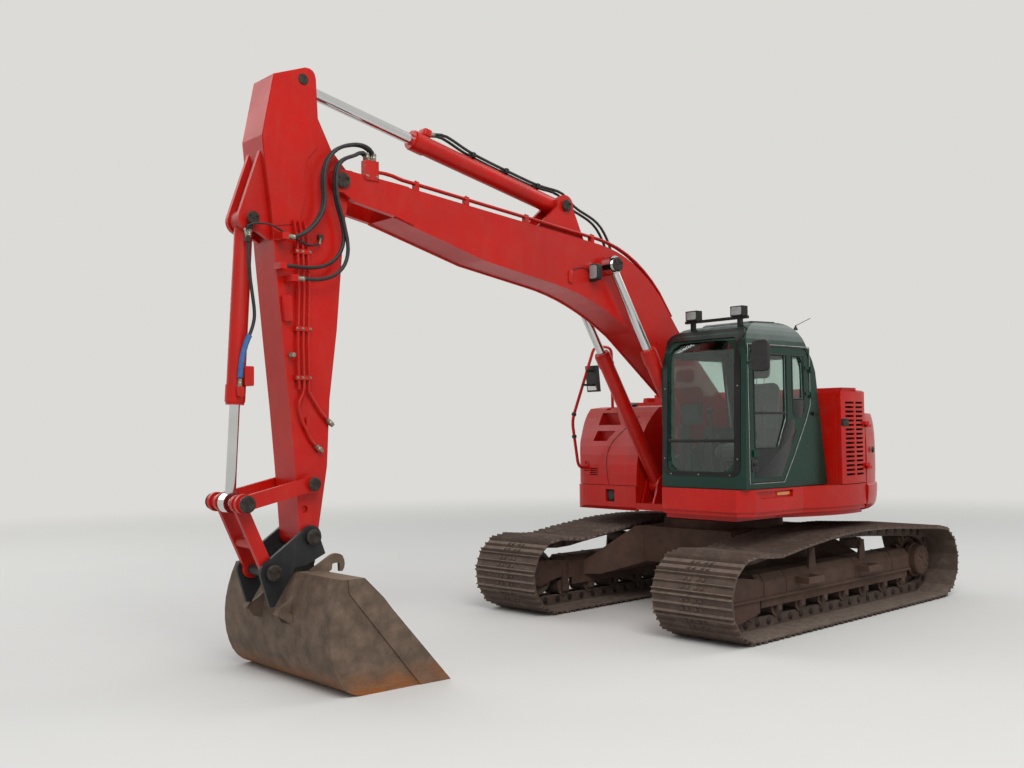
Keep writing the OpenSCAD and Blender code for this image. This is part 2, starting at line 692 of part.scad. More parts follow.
module engine_hood() {
    color(body_red) for (side = [-1, 1])
        hood_knuckle(side);
    color(body_red) difference() {
        intersection() {
            translate([0, 0, weight_top - 60]) cylinder(h = 90, r = hood_r, $fn = wide_fn);
            translate([hood_rear_x, -1290, weight_top - 100]) cube([-hood_rear_x + door_rear_x - 20, 2580, 200]);
        }
        intersection() {
            translate([0, 0, weight_top - 61]) cylinder(h = 60, r = hood_r - 70, $fn = wide_fn);
            translate([hood_rear_x + 50, -1250, weight_top - 100])
                cube([-hood_rear_x + door_rear_x - 120, 2500, 100]);
        }
        // air slots
        for (i = [0:7])
            translate([-1080 + i * 62, -520, weight_top - 10]) cube([26, 420, 60]);
    }
}

module engine() {
    color(steel_grey) block([-1140, -560, deck_top], [-540, 620, 1960]);
}

module swing_motor() {
    color(steel_grey) {
        translate([260, 0, deck_top]) cylinder(h = 190, r = 150);
        translate([260, 0, deck_top + 189]) cylinder(h = 120, r = 110);
        translate([260, 0, deck_top + 308]) cylinder(h = 40, r = 60);
    }
}

// Housing behind the cab: a fixed frame round the cooler, with the louvred door outside
housing_top = 2240;
left_in = 640;
module left_rear_housing() {
    color(body_red) difference() {
        intersection() {
            block([door_rear_x, left_in, skirt_top], [door_front_x, house_r, housing_top]);
            translate([0, 0, skirt_top - 1])
                cylinder(h = housing_top - skirt_top + 2, r = house_r - panel_t - 6, $fn = wide_fn);
        }
        block([door_rear_x - 1, left_in + 25, skirt_top + 25], [door_front_x - 25, house_r + 1, housing_top - 40]);
    }
}

module cooler() {
    color(steel_grey) {
        block([door_rear_x + 30, 900, skirt_top + 25], [door_front_x - 60, 1060, housing_top - 60]);
        for (i = [0:10])
            block([door_rear_x + 50 + i * 36, 1055, skirt_top + 60], [door_rear_x + 58 + i * 36, 1085, housing_top - 90]);
    }
}

// A door that follows the house's circle, from x0 to x1, on the side given
module round_door(x0, x1, z0, z1, side) {
    intersection() {
        translate([0, 0, z0]) difference() {
            cylinder(h = z1 - z0, r = house_r, $fn = wide_fn);
            translate([0, 0, -1]) cylinder(h = z1 - z0 + 2, r = house_r - panel_t, $fn = wide_fn);
        }
        block([x0, side > 0 ? 800 : -house_r - 10, z0], [x1, side > 0 ? house_r + 10 : -800, z1]);
    }
}

louvre_rows = 17;
module left_side_door() {
    door_z0 = skirt_top + 8;
    door_z1 = housing_top + 20;
    row_pitch = (door_z1 - door_z0 - 160) / louvre_rows;
    color(body_red) difference() {
        union() {
            round_door(door_rear_x + 4, door_front_x - 8, door_z0, door_z1, 1);
            side_hinge_moving(1);
        }
        for (row = [0:louvre_rows - 1])
            for (x = [door_rear_x + 60, door_rear_x + 250])
                translate([x, house_r - 80, door_z0 + 80 + row * row_pitch]) cube([155, 100, 22]);
    }
}

// Right front housing: a rounded nose over the platform's right corner
right_front_x = 920;
right_y = 1450;
housing_rear_x = -40;
right_top = 2170;
band_top = 1288;
band_out = 12;
function right_plan(inset) =
    let (r = house_r - inset, a = asin((right_y - 60) / r))
    concat([[housing_rear_x, -lug_out - 12], [right_front_x - inset, -lug_out - 12]],
        bend([right_front_x - inset, -1180], [right_front_x - inset, -1360], [r * cos(a), -r * sin(a)], 5),
        arc([0, 0], r, -a, -91.4, 8));
right_side_outline = concat([[housing_rear_x, band_top - 1], [right_front_x, band_top - 1]],
    bend([right_front_x, band_top + 2], [right_front_x, 1900], [right_front_x - 400, right_top - 20], 10),
    [[housing_rear_x + 300, right_top], [housing_rear_x, right_top + 10]]);
right_band_outline = [[housing_rear_x, deck_z - 16], [right_front_x - 10, deck_z - 16],
    [right_front_x + band_out, deck_z + 20], [right_front_x + band_out, band_top], [housing_rear_x, band_top]];
// Footholds in the sloping front, each as its outline in the front view and the place of its rear wall
footholds = [[[[-1235, 2095], [-1175, 1955], [-820, 1955], [-1000, 2095]], 560],
    [[[-1148, 1890], [-1167, 1776], [-956, 1776], [-865, 1890]], 725]];

module right_front_housing() {
    color(body_red) difference() {
        union() {
            intersection() {
                plate(right_side_outline, -house_r, 0);
                translate([0, 0, deck_z - 1]) linear_extrude(1300) polygon(right_plan(0));
            }
            intersection() {
                plate(right_band_outline, -house_r - 20, 0);
                translate([0, 0, deck_z - 20]) linear_extrude(400) polygon(right_plan(-band_out));
            }
        }
        // the platform's plate runs through the lower part
        intersection() {
            translate([0, 0, deck_z - 40]) cylinder(h = deck_t + 40, r = house_r - panel_t - 20 + seat_gap, $fn = wide_fn);
            block([-house_r, -house_r, deck_z - 40], [right_front_x - 40 + seat_gap, 0, deck_top]);
        }
        for (seat = [rail_foot, rail_heel])
            block([seat[0], rail_y - 36, seat[1]], [seat[0] + 110, rail_y + 36, seat[1] + 110]);
        // panel gap over the lower band
        difference() {
            block([housing_rear_x - 1, -house_r - 20, band_top], [right_front_x + 1, 0, band_top + 8]);
            translate([0, 0, band_top - 10]) linear_extrude(30) polygon(right_plan(16));
        }
        // air slots low on the front face
        for (i = [0:3])
            translate([right_front_x - 60, -1148, 1396 + i * 22]) cube([100, 128, 11]);
        for (hold = footholds)
            front_cut(hold[0], hold[1], right_front_x + 20);
        // lamp pocket
        block([right_front_x - 90, -888, 1112], [right_front_x + 40, -754, 1246]);
    }
}

module headlamp() {
    color(trim_black) block([right_front_x - 90, -882, 1118], [right_front_x - 22, -760, 1240]);
    color(bright_steel) translate([right_front_x - 23, -821, 1179]) rotate([0, 90, 0]) cylinder(h = 18, r = 48);
}

// Frame behind the right side door, with its top over the bay
right_rear_top = right_top + 50;
module right_rear_housing() {
    color(body_red) difference() {
        intersection() {
            block([door_rear_x, -house_r, deck_top], [housing_rear_x, -left_in, right_rear_top]);
            translate([0, 0, deck_top - 1]) cylinder(h = 1300, r = house_r - panel_t - 6, $fn = wide_fn);
        }
        block([door_rear_x + 20, -house_r - 1, deck_top + 30], [housing_rear_x - 20, -left_in - 25, right_rear_top - 30]);
    }
}

module right_side_door() {
    color(body_red) difference() {
        union() {
            round_door(door_rear_x + 4, housing_rear_x - 8, deck_top + 10, right_rear_top + 10, -1);
            side_hinge_moving(-1);
        }
        for (i = [0:5])
            translate([door_rear_x + 60, -house_r - 20, 1900 - i * 44]) cube([180, 100, 20]);
    }
}

// Handrail over the right front housing: [x, z] corners, and a flat foot at both ends
rail_y = -1200;
rail_r = 17;
rail_foot = [right_front_x - 28, 1440];
rail_heel = [440, 2118];
rail_corners = [[right_front_x - 14, 1480], [1040, 1480], [1130, 2010], [760, 2860], [480, 2860], [474, 2130]];
function rail_bend(i, a, b) =
    bend(mix(rail_corners[i - 1], rail_corners[i], a), rail_corners[i], mix(rail_corners[i], rail_corners[i + 1], b), 4);
function rail_path() = concat([rail_corners[0]], rail_bend(1, 0.5, 0.15), rail_bend(2, 0.85, 0.1),
    rail_bend(3, 0.92, 0.35), rail_bend(4, 0.65, 0.1), [rail_corners[5]]);

module handrail() {
    color(body_red) {
        tube([for (p = rail_path()) [p[0], rail_y, p[1]]], rail_r, 8);
        block([rail_foot[0], rail_y - 32, rail_foot[1] + 10], [rail_foot[0] + 20, rail_y + 32, rail_foot[1] + 80]);
        block([rail_heel[0] + 2, rail_y - 32, rail_heel[1]], [rail_heel[0] + 66, rail_y + 32, rail_heel[1] + 20]);
    }
}

module handrail_mirror() {
    color(trim_black) {
        translate([755, rail_y - 90, 2340]) rotate([0, 6, 0]) cube([40, 180, 300]);
        for (z = [2400, 2560])
            block([780, rail_y + rail_r, z], [1010 - (z - 2340) * 0.43, rail_y + rail_r + 14, z + 26]);
    }
}

// Cab

cab_base = skirt_top + 10;
// Side view of the cab: floor edge, windscreen, roof and rear edge
function cab_outline(inset) = concat([[180 + inset, cab_base + inset], [1490 - inset, cab_base + inset]],
    bend([1450 - inset, 2560], [1440 - inset, 2860 - inset], [1150, 2905 - inset], 6),
    bend([750, 2925 - inset], [520 + inset, 2920 - inset], [460 + inset, 2700], 6),
    [[350 + inset, 2450]]);
cab_slope_z = 2560;
// Front view of the cab: upright sides that lean in to the roof
function cab_front_outline(inset) = let (y0 = cab_y + inset, y1 = cab_left - inset, z1 = 2960 - inset)
    concat([[y0, skirt_top], [y1, skirt_top], [y1, cab_slope_z]],
        bend([y1 - 20, cab_slope_z + 120], [y1 - 70, z1], [y1 - 260, z1], 9),
        bend([y0 + 260, z1], [y0 + 70, z1], [y0 + 20, cab_slope_z + 120], 9), [[y0, cab_slope_z]]);
module cab_form(inset) {
    intersection() {
        plate(cab_outline(inset), cab_y - 10, cab_left + 10);
        translate([0, 0, 0]) rotate([90, 0, 90]) linear_extrude(1700) polygon(cab_front_outline(inset));
    }
}

// Door: front edge, roof edge, rear edge and the curved lower corner
function door_outline(inset) = concat([[1420 - inset, 1400 + inset]],
    bend([1412 - inset, 2480], [1405 - inset, 2680 - inset], [1230, 2680 - inset], 4),
    bend([620, 2680 - inset], [500 + inset, 2680 - inset], [480 + inset, 2500], 4),
    [[455 + inset, 2130]], bend([600 + inset, 1880], [800 + inset, 1560 + inset], [900 + inset, 1400 + inset], 6));
door_gap = 6;
// Panes in the door's plane: front pane and rear pane
function door_front_pane(inset) = concat([[1345 - inset, 1720 + inset]],
    bend([1340 - inset, 2460], [1335 - inset, 2600 - inset], [1200, 2600 - inset], 3),
    [[830 + inset, 2600 - inset], [830 + inset, 1990 + inset], [960 + inset, 1720 + inset]]);
function door_rear_pane(inset) = concat([[740 - inset, 2600 - inset]],
    bend([660, 2600 - inset], [565 + inset, 2600 - inset], [560 + inset, 2460], 3),
    [[550 + inset, 2180 + inset], [740 - inset, 2180 + inset]]);
// Windscreen: upper and lower pane in the front view [y, z]
screen_y0 = cab_y + 75;
screen_y1 = cab_left - 140;
screen_split = 1790;
function upper_screen(inset) = concat([[screen_y0 + inset, screen_split + 15 + inset], [screen_y1 - inset, screen_split + 15 + inset]],
    bend([screen_y1 - inset, 2560], [screen_y1 - inset, 2740 - inset], [screen_y1 - 200, 2740 - inset], 4),
    bend([screen_y0 + 200, 2740 - inset], [screen_y0 + inset, 2740 - inset], [screen_y0 + inset, 2560], 4));
function lower_screen(inset) = concat([[screen_y0 + inset, screen_split - 15 - inset]],
    bend([screen_y0 + inset, 1660], [screen_y0 + inset, 1500 + inset], [screen_y0 + 160, 1500 + inset], 4),
    bend([screen_y1 - 160, 1500 + inset], [screen_y1 - inset, 1500 + inset], [screen_y1 - inset, 1660], 4),
    [[screen_y1 - inset, screen_split - 15 - inset]]);
module front_cut(points, x0, x1) {
    translate([x0, 0, 0]) rotate([90, 0, 90]) linear_extrude(x1 - x0) polygon(points);
}

// Right side window of the cab
function right_pane(inset) = [[420 + inset, 1900 + inset], [1340 - inset, 1620 + inset], [1330 - inset, 2600 - inset],
    [520 + inset, 2600 - inset]];

lamp_bar_x = 1240;
lamp_seat_z = 2868;
lamp_feet = [cab_y + 200, cab_left - 240];

module cab_shell() {
    color(cab_green) difference() {
        cab_form(0);
        cab_form(cab_wall);
        // doorway
        plate(door_outline(-door_gap), cab_left - cab_wall - 30, cab_left + 20);
        front_cut(upper_screen(0), 1300, 1600);
        front_cut(lower_screen(0), 1300, 1600);
        plate(right_pane(0), cab_y - 20, cab_y + cab_wall + 20);
        // rear window
        front_cut([[cab_y + 120, 2050], [cab_left - 120, 2050], [cab_left - 150, 2600], [cab_y + 150, 2600]], 150, 640);
        // flat seats of the lamp bar's feet
        for (y = lamp_feet)
            block([lamp_bar_x - 22, y - 2, lamp_seat_z], [lamp_bar_x + 22, y + 42, 2990]);
    }
    // raised roof hatch
    color(cab_green) plate([[640, 2890], [1120, 2880], [1110, 2915], [1060, 2935], [690, 2945], [650, 2925]],
        cab_y + 230, cab_left - 230);
    color(cab_green) cab_hinge_fixed();
    // rim under the cab's floor
    color(cab_green) block([200, cab_y + 20, skirt_top], [1460, cab_left - 20, cab_base + 5]);
}

// Hinges of the cab's door: leaf and pin on the shell, leaf on the door
cab_axis = [452, cab_left + 14];
cab_hinge_zs = [2190, 2440];
module cab_hinge_fixed() {
    for (z = cab_hinge_zs) {
        block([cab_axis[0] - 50, cab_left - 1, z], [cab_axis[0], cab_left + 9, z + 29]);
        translate([cab_axis[0], cab_axis[1], z]) cylinder(h = 29, r = 10);
        translate([cab_axis[0], cab_axis[1], z]) cylinder(h = 59, r = 5);
    }
}
module cab_hinge_moving() {
    for (z = cab_hinge_zs) {
        difference() {
            union() {
                block([cab_axis[0], cab_left + 4, z + 30], [cab_axis[0] + 80, cab_left + 12, z + 59]);
                translate([cab_axis[0], cab_axis[1], z + 30]) cylinder(h = 29, r = 10);
            }
            translate([cab_axis[0], cab_axis[1], z + 29]) cylinder(h = 31, r = 5 + pin_gap);
        }
        block([cab_axis[0] + 40, cab_left - 1, z + 30], [cab_axis[0] + 80, cab_left + 5, z + 59]);
    }
}

module cab_windows() {
    color(glass_blue) {
        intersection() {
            difference() {
                cab_form(cab_wall / 2 - pane_t / 2);
                cab_form(cab_wall / 2 + pane_t / 2);
            }
            union() {
                front_cut(upper_screen(seat_gap), 1300, 1600);
                front_cut(lower_screen(seat_gap), 1300, 1600);
                plate(right_pane(seat_gap), cab_y - 20, cab_y + cab_wall + 20);
                front_cut([[cab_y + 120 + seat_gap, 2050 + seat_gap], [cab_left - 120 - seat_gap, 2050 + seat_gap],
                    [cab_left - 150 - seat_gap, 2600 - seat_gap], [cab_y + 150 + seat_gap, 2600 - seat_gap]], 150, 640);
            }
        }
    }
}

module cab_door() {
    color(cab_green) {
        difference() {
            plate(door_outline(0), cab_left - cab_wall, cab_left);
            plate(door_front_pane(0), cab_left - cab_wall - 1, cab_left + 1);
            plate(door_rear_pane(0), cab_left - cab_wall - 1, cab_left + 1);
        }
        translate([1290, cab_left - 1, 1640]) cube([90, 16, 60]);
        cab_hinge_moving();
    }
}

module cab_door_windows() {
    mid = cab_left - cab_wall / 2;
    color(glass_blue) {
        plate(door_front_pane(seat_gap), mid - pane_t / 2, mid + pane_t / 2);
        plate(door_rear_pane(seat_gap), mid - pane_t / 2, mid + pane_t / 2);
    }
}

cab_mid = cab_y + cab_w / 2;
cab_floor = cab_base + cab_wall;
seat_x = 510;
module operator_seat() {
    color(trim_black) translate([seat_x, 0, 0]) {
        block([60, cab_mid - 200, cab_floor], [450, cab_mid + 200, cab_floor + 180]);
        block([30, cab_mid - 250, cab_floor + 180], [530, cab_mid + 250, cab_floor + 420]);
        plate([[30, cab_floor + 419], [190, cab_floor + 419], [110, cab_floor + 980], [0, cab_floor + 980]],
            cab_mid - 240, cab_mid + 240);
        plate([[15, cab_floor + 1000], [105, cab_floor + 1000], [85, cab_floor + 1150], [5, cab_floor + 1150]],
            cab_mid - 130, cab_mid + 130);
        block([30, cab_mid - 60, cab_floor + 979], [70, cab_mid + 60, cab_floor + 1001]);
    }
}

module cab_controls() {
    color(trim_black) {
        for (y = [cab_mid - 375, cab_mid + 270]) {
            block([450, y, cab_floor], [1000, y + 105, cab_floor + 520]);
            translate([960, y + 52, cab_floor + 519]) cylinder(h = 190, r = 16);
            translate([960, y + 52, cab_floor + 700]) sphere(r = 32);
        }
        for (y = [cab_mid - 60, cab_mid + 60]) {
            block([1200, y - 45, cab_floor], [1290, y + 45, cab_floor + 40]);
            translate([1245, y, cab_floor + 39]) rotate([0, 10, 0]) cylinder(h = 420, r = 12);
        }
        block([1180, cab_y + cab_wall + 6, cab_floor], [1290, cab_y + cab_wall + 60, cab_floor + 560]);
        block([1170, cab_y + cab_wall + 6, cab_floor + 559], [1230, cab_y + cab_wall + 210, cab_floor + 760]);
    }
}

module lamp_bar() {
    bar_z = 2935;
    color(trim_black) {
        block([lamp_bar_x - 20, cab_y + 130, bar_z + 8], [lamp_bar_x + 20, cab_left - 130, bar_z + 34]);
        for (y = lamp_feet)
            block([lamp_bar_x - 20, y, lamp_seat_z], [lamp_bar_x + 20, y + 40, bar_z + 12]);
        for (y = [cab_y + 160, cab_left - 300])
            block([lamp_bar_x - 40, y, bar_z + 34], [lamp_bar_x + 45, y + 140, bar_z + 130]);
    }
}

// Mirror on a bracket at the cab's front pillar, clear of the door's sweep
module cab_mirror() {
    color(trim_black) {
        translate([1450, cab_left + 80, 2420]) cube([36, 190, 290]);
        block([1424, cab_left, 2500], [1446, cab_left + 60, 2526]);
        block([1424, cab_left + 50, 2500], [1456, cab_left + 110, 2526]);
    }
}

// Grab rail at the cab's inner front corner
module cab_grab_rail() {
    color(trim_black) {
        translate([1440, cab_y - 18, 1940]) cylinder(h = 570, r = 10);
        for (z = [1965, 2470])
            block([1430, cab_y - 14, z], [1450, cab_y, z + 22]);
    }
}

// Working arm: boom

boom_top = concat([[-150, 1870], [930, 2925]],
    bend([1190, 3246], [1560, 3650], [2080, 3712], 8), [[4420, 3965]]);
boom_belly = concat([[4480, 3680], [3515, 3414]],
    bend([2700, 3280], [2160, 3200], [1597, 2856], 8), [[20, 1640]]);
box_end = 4540;
foot_r = 140;
nose_r = 95;
clamp_x = 4660;
clamp_len = 130;
clamp_top = 4120;

module boom() {
    inner_y = boom_w / 2 - boom_plate;
    cheek_in = arm_w / 2 + run_gap;
    color(body_red) difference() {
        union() {
            plates(concat(boom_top, boom_belly), inner_y - 1, boom_w / 2);
            plate(concat(lift(boom_top, -boom_inset), lift(boom_belly, boom_inset)), -inner_y, inner_y);
            bar(foot_pin, foot_r, -boom_w / 2, boom_w / 2);
            // the nose's two cheeks
            plates(concat([[4350, 3957], [4420, 3965]], arc(nose_pin, nose_r, 85, -95, 12),
                [[4880, 3765], [4480, 3692], [4300, 3640]]), cheek_in, boom_w / 2 + 18);
            // blocks in which the pipes end and the hoses begin
            plates([[clamp_x, 3960], [clamp_x + clamp_len, 3960], [clamp_x + clamp_len, clamp_top], [clamp_x, clamp_top]],
                cheek_in + 2, boom_w / 2 + 32);
            // seat of the boom cylinders' upper pins
            bar(boom_cyl_eye, 95, -boom_cyl_y + 58, boom_cyl_y - 58);
            // ears of the arm cylinder's base
            for (side = [-1, 1])
                plate(concat([[2200, 3700]], arc(arm_cyl_base, 105, 190, -10, 12), [[2860, 3780]]),
                    side > 0 ? 92 : -132, side > 0 ? 132 : -92);
        }
        bar(arm_cyl_base, 45 + pin_gap, -400, 400);
        // room for the arm between the cheeks
        translate([box_end, -cheek_in, 3400]) cube([800, 2 * cheek_in, 900]);
    }
    color(steel_grey) bar(nose_pin, 50, -boom_w / 2 - 30, boom_w / 2 + 30);
    color(steel_grey) bar(foot_pin, 55, -boom_w / 2 - 40, boom_w / 2 + 40);
}

// Steel pipes over the boom's top, side by side: distance from the centre plane along the boom and at its nose
pipe_r = 12;
boom_pipe_ys = [[-176, -206], [-148, -180], [148, 180], [176, 206]];
function boom_top_z(x) = 3712 + (x - 2080) * (3965 - 3712) / (4420 - 2080);
function over_boom(dz) = concat([[1010, 3010 + dz]],
    bend([1190, 3246 + dz], [1560, 3650 + dz], [2080, 3712 + dz], 7), [[4380, 3961 + dz]]);

module boom_pipes() {
    color(body_red) {
        for (y = boom_pipe_ys)
            tube(concat([for (p = over_boom(60)) [p[0], y[0], p[1]]],
                [for (x = [4500, 4580, clamp_x]) [x, y[1], boom_top_z(min(x, 4580)) + 60]]), pipe_r, 8);
        for (x = [2150, 3000, 3700, 4240])
            plates([for (p = [[-20, 0], [20, 0], [20, 92], [-20, 92]])
                [x + p[0], boom_top_z(x + p[0]) - boom_inset + p[1]]], 134, 185);
    }
}

// Hoses from the block on the boom's nose to the brackets on the arm's side
module arm_hose_1() color(trim_black) tube(hose_route(upper_hose, hose_y0), hose_r, 10);
module arm_hose_2() color(trim_black) tube(hose_route(upper_hose, hose_y1), hose_r, 10);
module arm_hose_3() color(trim_black) tube(hose_route(lower_hose, hose_y0), hose_r, 10);
module arm_hose_4() color(trim_black) tube(hose_route(lowest_hose, hose_y1), hose_r, 10);

// Hydraulic cylinders: an eye at each end, a barrel, a gland and a rod

boom_barrel_len = 1640;
arm_barrel_len = 1760;
bucket_barrel_len = 1415;

module barrel(base, to, y, r, rod_r, eye_r, eye_half, length) {
    difference() {
        union() {
            rod_along(base, to, y, r, eye_r * 0.75, length);
            rod_along(base, to, y, r * 1.1, length - 150, length - 20);
            bar(base, eye_r, y - eye_half, y + eye_half);
        }
        rod_along(base, to, y, rod_r + seat_gap, eye_r * 1.4, length + 10);
    }
}

module rod(base, to, y, rod_r, eye_r, eye_half, start) {
    reach = norm(to - base);
    rod_along(base, to, y, rod_r, start, reach - eye_r * 0.6);
    bar(to, eye_r, y - eye_half, y + eye_half);
}

module boom_cylinder_barrels() {
    color(body_red) for (side = [-1, 1])
        barrel(boom_cyl_base, boom_cyl_eye, side * boom_cyl_y, boom_cyl_r, boom_rod_r, 92, 60, boom_barrel_len);
    color(steel_grey) for (side = [-1, 1])
        bar(boom_cyl_base, 45, side > 0 ? bracket_in : -lug_out - 6, side > 0 ? lug_out + 6 : -bracket_in);
}

module boom_cylinder_rods() {
    color(bright_steel) for (side = [-1, 1]) {
        rod(boom_cyl_base, boom_cyl_eye, side * boom_cyl_y, boom_rod_r, 88, 52, 900);
        bar(boom_cyl_eye, 60, side > 0 ? boom_cyl_y + 51 : -boom_cyl_y - 76, side > 0 ? boom_cyl_y + 76 : -boom_cyl_y - 51);
    }
}

module arm_cylinder_barrel() {
    color(body_red) barrel(arm_cyl_base, arm_cyl_eye, 0, arm_cyl_r, arm_rod_r, 95, 84, arm_barrel_len);
    color(steel_grey) bar(arm_cyl_base, 45, -150, 150);
}

module arm_cylinder_rod() {
    color(bright_steel) {
        rod(arm_cyl_base, arm_cyl_eye, 0, arm_rod_r, 92, 60, 1155);
        bar(arm_cyl_eye, 45, -70, 70);
    }
}

module bucket_cylinder_barrel() {
    color(body_red) barrel(bucket_cyl_base, link_pin, 0, bucket_cyl_r, bucket_rod_r, 85, 60, bucket_barrel_len);
    color(steel_grey) bar(bucket_cyl_base, 40, -150, 150);
}

module bucket_cylinder_rod() {
    color(bright_steel) {
        rod(bucket_cyl_base, link_pin, 0, bucket_rod_r, 78, 50, 545);
        bar(link_pin, 38, -58, 58);
    }
}

// Arm

arm_machine_side = concat([[5205, 1120], [5118, 1652], [5093, 2173], [5023, 2727], [4951, 3568]],
    arc(nose_pin, 125, 215, 140, 8), [[5065, 4165], [5187, 4400]]);
arm_outer_side = [[5577, 4682], [5678, 4189], [5658, 3995], [5607, 3644], [5577, 3346], [5508, 2679],
    [5446, 2106], [5404, 1661], [5361, 1120]];
// Weld line of the thick side plate round the pins, from the head down the front edge
arm_weld = [[5552, 4649], [5361, 4601], [5263, 4503], [5198, 4339], [5206, 4162], [5298, 4050], [5316, 3912],
    [5299, 3799], [5365, 3540]];
arm_plate_front = [[5590, 3500], [5603, 3644], [5654, 3995], [5674, 4189], [5576, 4665]];
arm_side_t = 8;
ear_in = 82;

module arm() {
    tip_r = 78;
    outline = concat(arm_machine_side, bend([5203, 4711], [5212, 4800], [5300, 4787], 4), arm_outer_side);
    color(body_red) difference() {
        union() {
            plate(outline, -arm_w / 2, arm_w / 2);
            bar(tip_pin, tip_r, -arm_w / 2, arm_w / 2);
            bar(rocker_pin, 66, -rocker_in + run_gap, rocker_in - run_gap);
            plates(concat(arm_weld, arm_plate_front), arm_w / 2 - 1, arm_w / 2 + arm_side_t);
            // gussets with the ears of the bucket cylinder's base
            plates(concat([[5640, 4160]], arc(bucket_cyl_base, 100, 25, -120, 10), [[5560, 3380]]), 70, 110);
            // brackets of the hoses' ends
            for (p = hose_brackets)
                block([p[0], arm_w / 2 - 1, p[1] - 26], [p[0] + 55, hose_y1 + p[2], p[1] + 26]);
        }
        bars([5321, 1323], 28, arm_w / 2 - 20, arm_w / 2 + 1);
        bar(nose_pin, 50 + pin_gap, -200, 200);
        bar(tip_pin, 42 + pin_gap, -200, 200);
        bar(rocker_pin, 38 + pin_gap, -260, 260);
        bar(arm_cyl_eye, 45, -200, 200);
        bar(bucket_cyl_base, 40 + pin_gap, -200, 200);
        // slot for the arm cylinder's rod eye
        plate([[5000, 4430], [5340, 4430], [5425, 4560], [5425, 4625], [5640, 4768], [5640, 4900], [5000, 4900]], -ear_in, ear_in);
    }
}

arm_pipe_route = [[5330, 3560], [5300, 3400], [5290, 3000], [5300, 2600], [5290, 2250]];
module arm_pipes() {
    color(body_red) for (dx = [0, 45, 90])
        tube([for (p = arm_pipe_route) [p[0] + dx, arm_w / 2 + 30, p[1]]], 12, 8, [1, 0, 0]);
    color(body_red) for (z = [3300, 2700, 2320])
        block([5275, arm_w / 2, z], [5415, arm_w / 2 + 44, z + 36]);
}

// Rocker links outside the arm, and the bucket link from their outer pin to the coupler
rocker_in = coupler_y + coupler_t / 2 + run_gap;
rocker_out = rocker_in + 34;

function strap(p, q, r, n) =
    let (a = angle_to(p, q))
    concat(arc(p, r, a + 90, a + 270, n), arc(q, r, a - 90, a + 90, n));

// A strap from p to q with its middle narrowed to the half width given
module waisted(p, q, r, waist, y0, y1) {
    plates(strap(p, q, waist, 8), y0, y1);
    bars(p, r, y0, y1);
    bars(q, r, y0, y1);
}

module rocker_links() {
    color(body_red) waisted(rocker_pin, link_pin, 74, 56, rocker_in, rocker_out);
    color(steel_grey) {
        bar(rocker_pin, 38, -rocker_out - 30, rocker_out + 30);
        bars(link_pin, 60, rocker_out - 1, rocker_out + 40);
    }
}

link_out = coupler_y - coupler_t / 2 - 16;
link_in = link_out - 40;
module bucket_link() {
    color(body_red) difference() {
        union() {
            waisted(coupler_pin, link_pin, 66, 50, link_in, link_out);
            bar(mix(coupler_pin, link_pin, 0.42), 44, -link_in - 1, link_in + 1);
            bars(link_pin, 58, link_in, rocker_in - run_gap);
        }
        bar(coupler_pin, 40 + pin_gap, -260, 260);
    }
}

// Quick coupler: two side plates, a cross body and the hook

coupler_in = coupler_y - coupler_t / 2;
coupler_out = coupler_y + coupler_t / 2;
coupler_plate = concat(arc(tip_pin, 88, 200, 40, 8), arc(coupler_pin, 95, 70, -20, 6),
    [[5640, 610], [5600, 610], [5476, 800], [5424, 889], [5332, 896], [5160, 975]]);

module quick_coupler() {
    color(trim_black) {
        plates(coupler_plate, coupler_in, coupler_out);
        // foot between the plates, on the bucket's head
        plate([[5240, bucket_h], [5396, bucket_h], [5450, 875], [5420, 930], [5250, 960]], -coupler_in - 1, coupler_in + 1);
    }
    color(steel_grey) {
        bar(tip_pin, 42, -coupler_out - 1, coupler_out + 1);
        bar(coupler_pin, 40, -coupler_out - 1, coupler_out + 1);
        for (p = [tip_pin, coupler_pin])
            bars(p, 58, coupler_out - 1, coupler_out + 34);
    }
}

// Bucket: a curved shell between two side plates, with ears for the coupler

bucket_h = 850;
bucket_back = bend([5220, 0], [5430, 10], [5490, 290], 6);
bucket_head = bend([5490, 290], [5540, 560], [5400, 850], 6);
bucket_outline = concat([[4437, 0], [5150, 0]], bucket_back, bucket_head, [[5215, 850], [5052, 694], [4969, 593]]);
side_cutter = [[4437, 0], [4719, 0], [5347, 749], [5355, 850], [5215, 850], [5052, 694], [4969, 593]];
function inner_skin(points, t) = [for (i = [0:len(points) - 1])
    let (d = route_dir(points, i)) points[i] + t * [-d[1], d[0]]];

// An ear from its hook at the machine's side down the bucket's back
bucket_ear = concat([[5131, 962], [5306, 862], [5400, 745], [5495, 648], [5575, 600], [5605, 550], [5560, 490],
    [5460, 470], [5430, 560], [5340, 720], [5212, 797], [5128, 850], [5122, 892]],
    bend([5122, 892], [5090, 905], [5058, 892], 4), [[5055, 830]], bend([5030, 830], [4990, 880], [5030, 950], 4),
    bend([5030, 950], [5075, 985], [5131, 962], 4));

module bucket() {
    half = bucket_w / 2;
    room = concat([[4300, bucket_t], [5150, bucket_t]], inner_skin(bucket_back, bucket_t),
        inner_skin([for (p = bucket_head) if (p[1] < 740 && p[1] > 300) p], bucket_t), [[5330, 720], [5190, 730], [5080, 670],
        [4300, 670]]);
    color(rust_brown) difference() {
        union() {
            plate(bucket_outline, -half, half);
            plates(bucket_ear, coupler_out + 8, coupler_out + 40);
            plates(side_cutter, half - 1, half + 12);
            plates([[5625, 560], [5585, 610], [5450, 520], [5485, 470]], coupler_out + 8, 275);
        }
        plate(room, -half + bucket_t, half - bucket_t);
    }
}

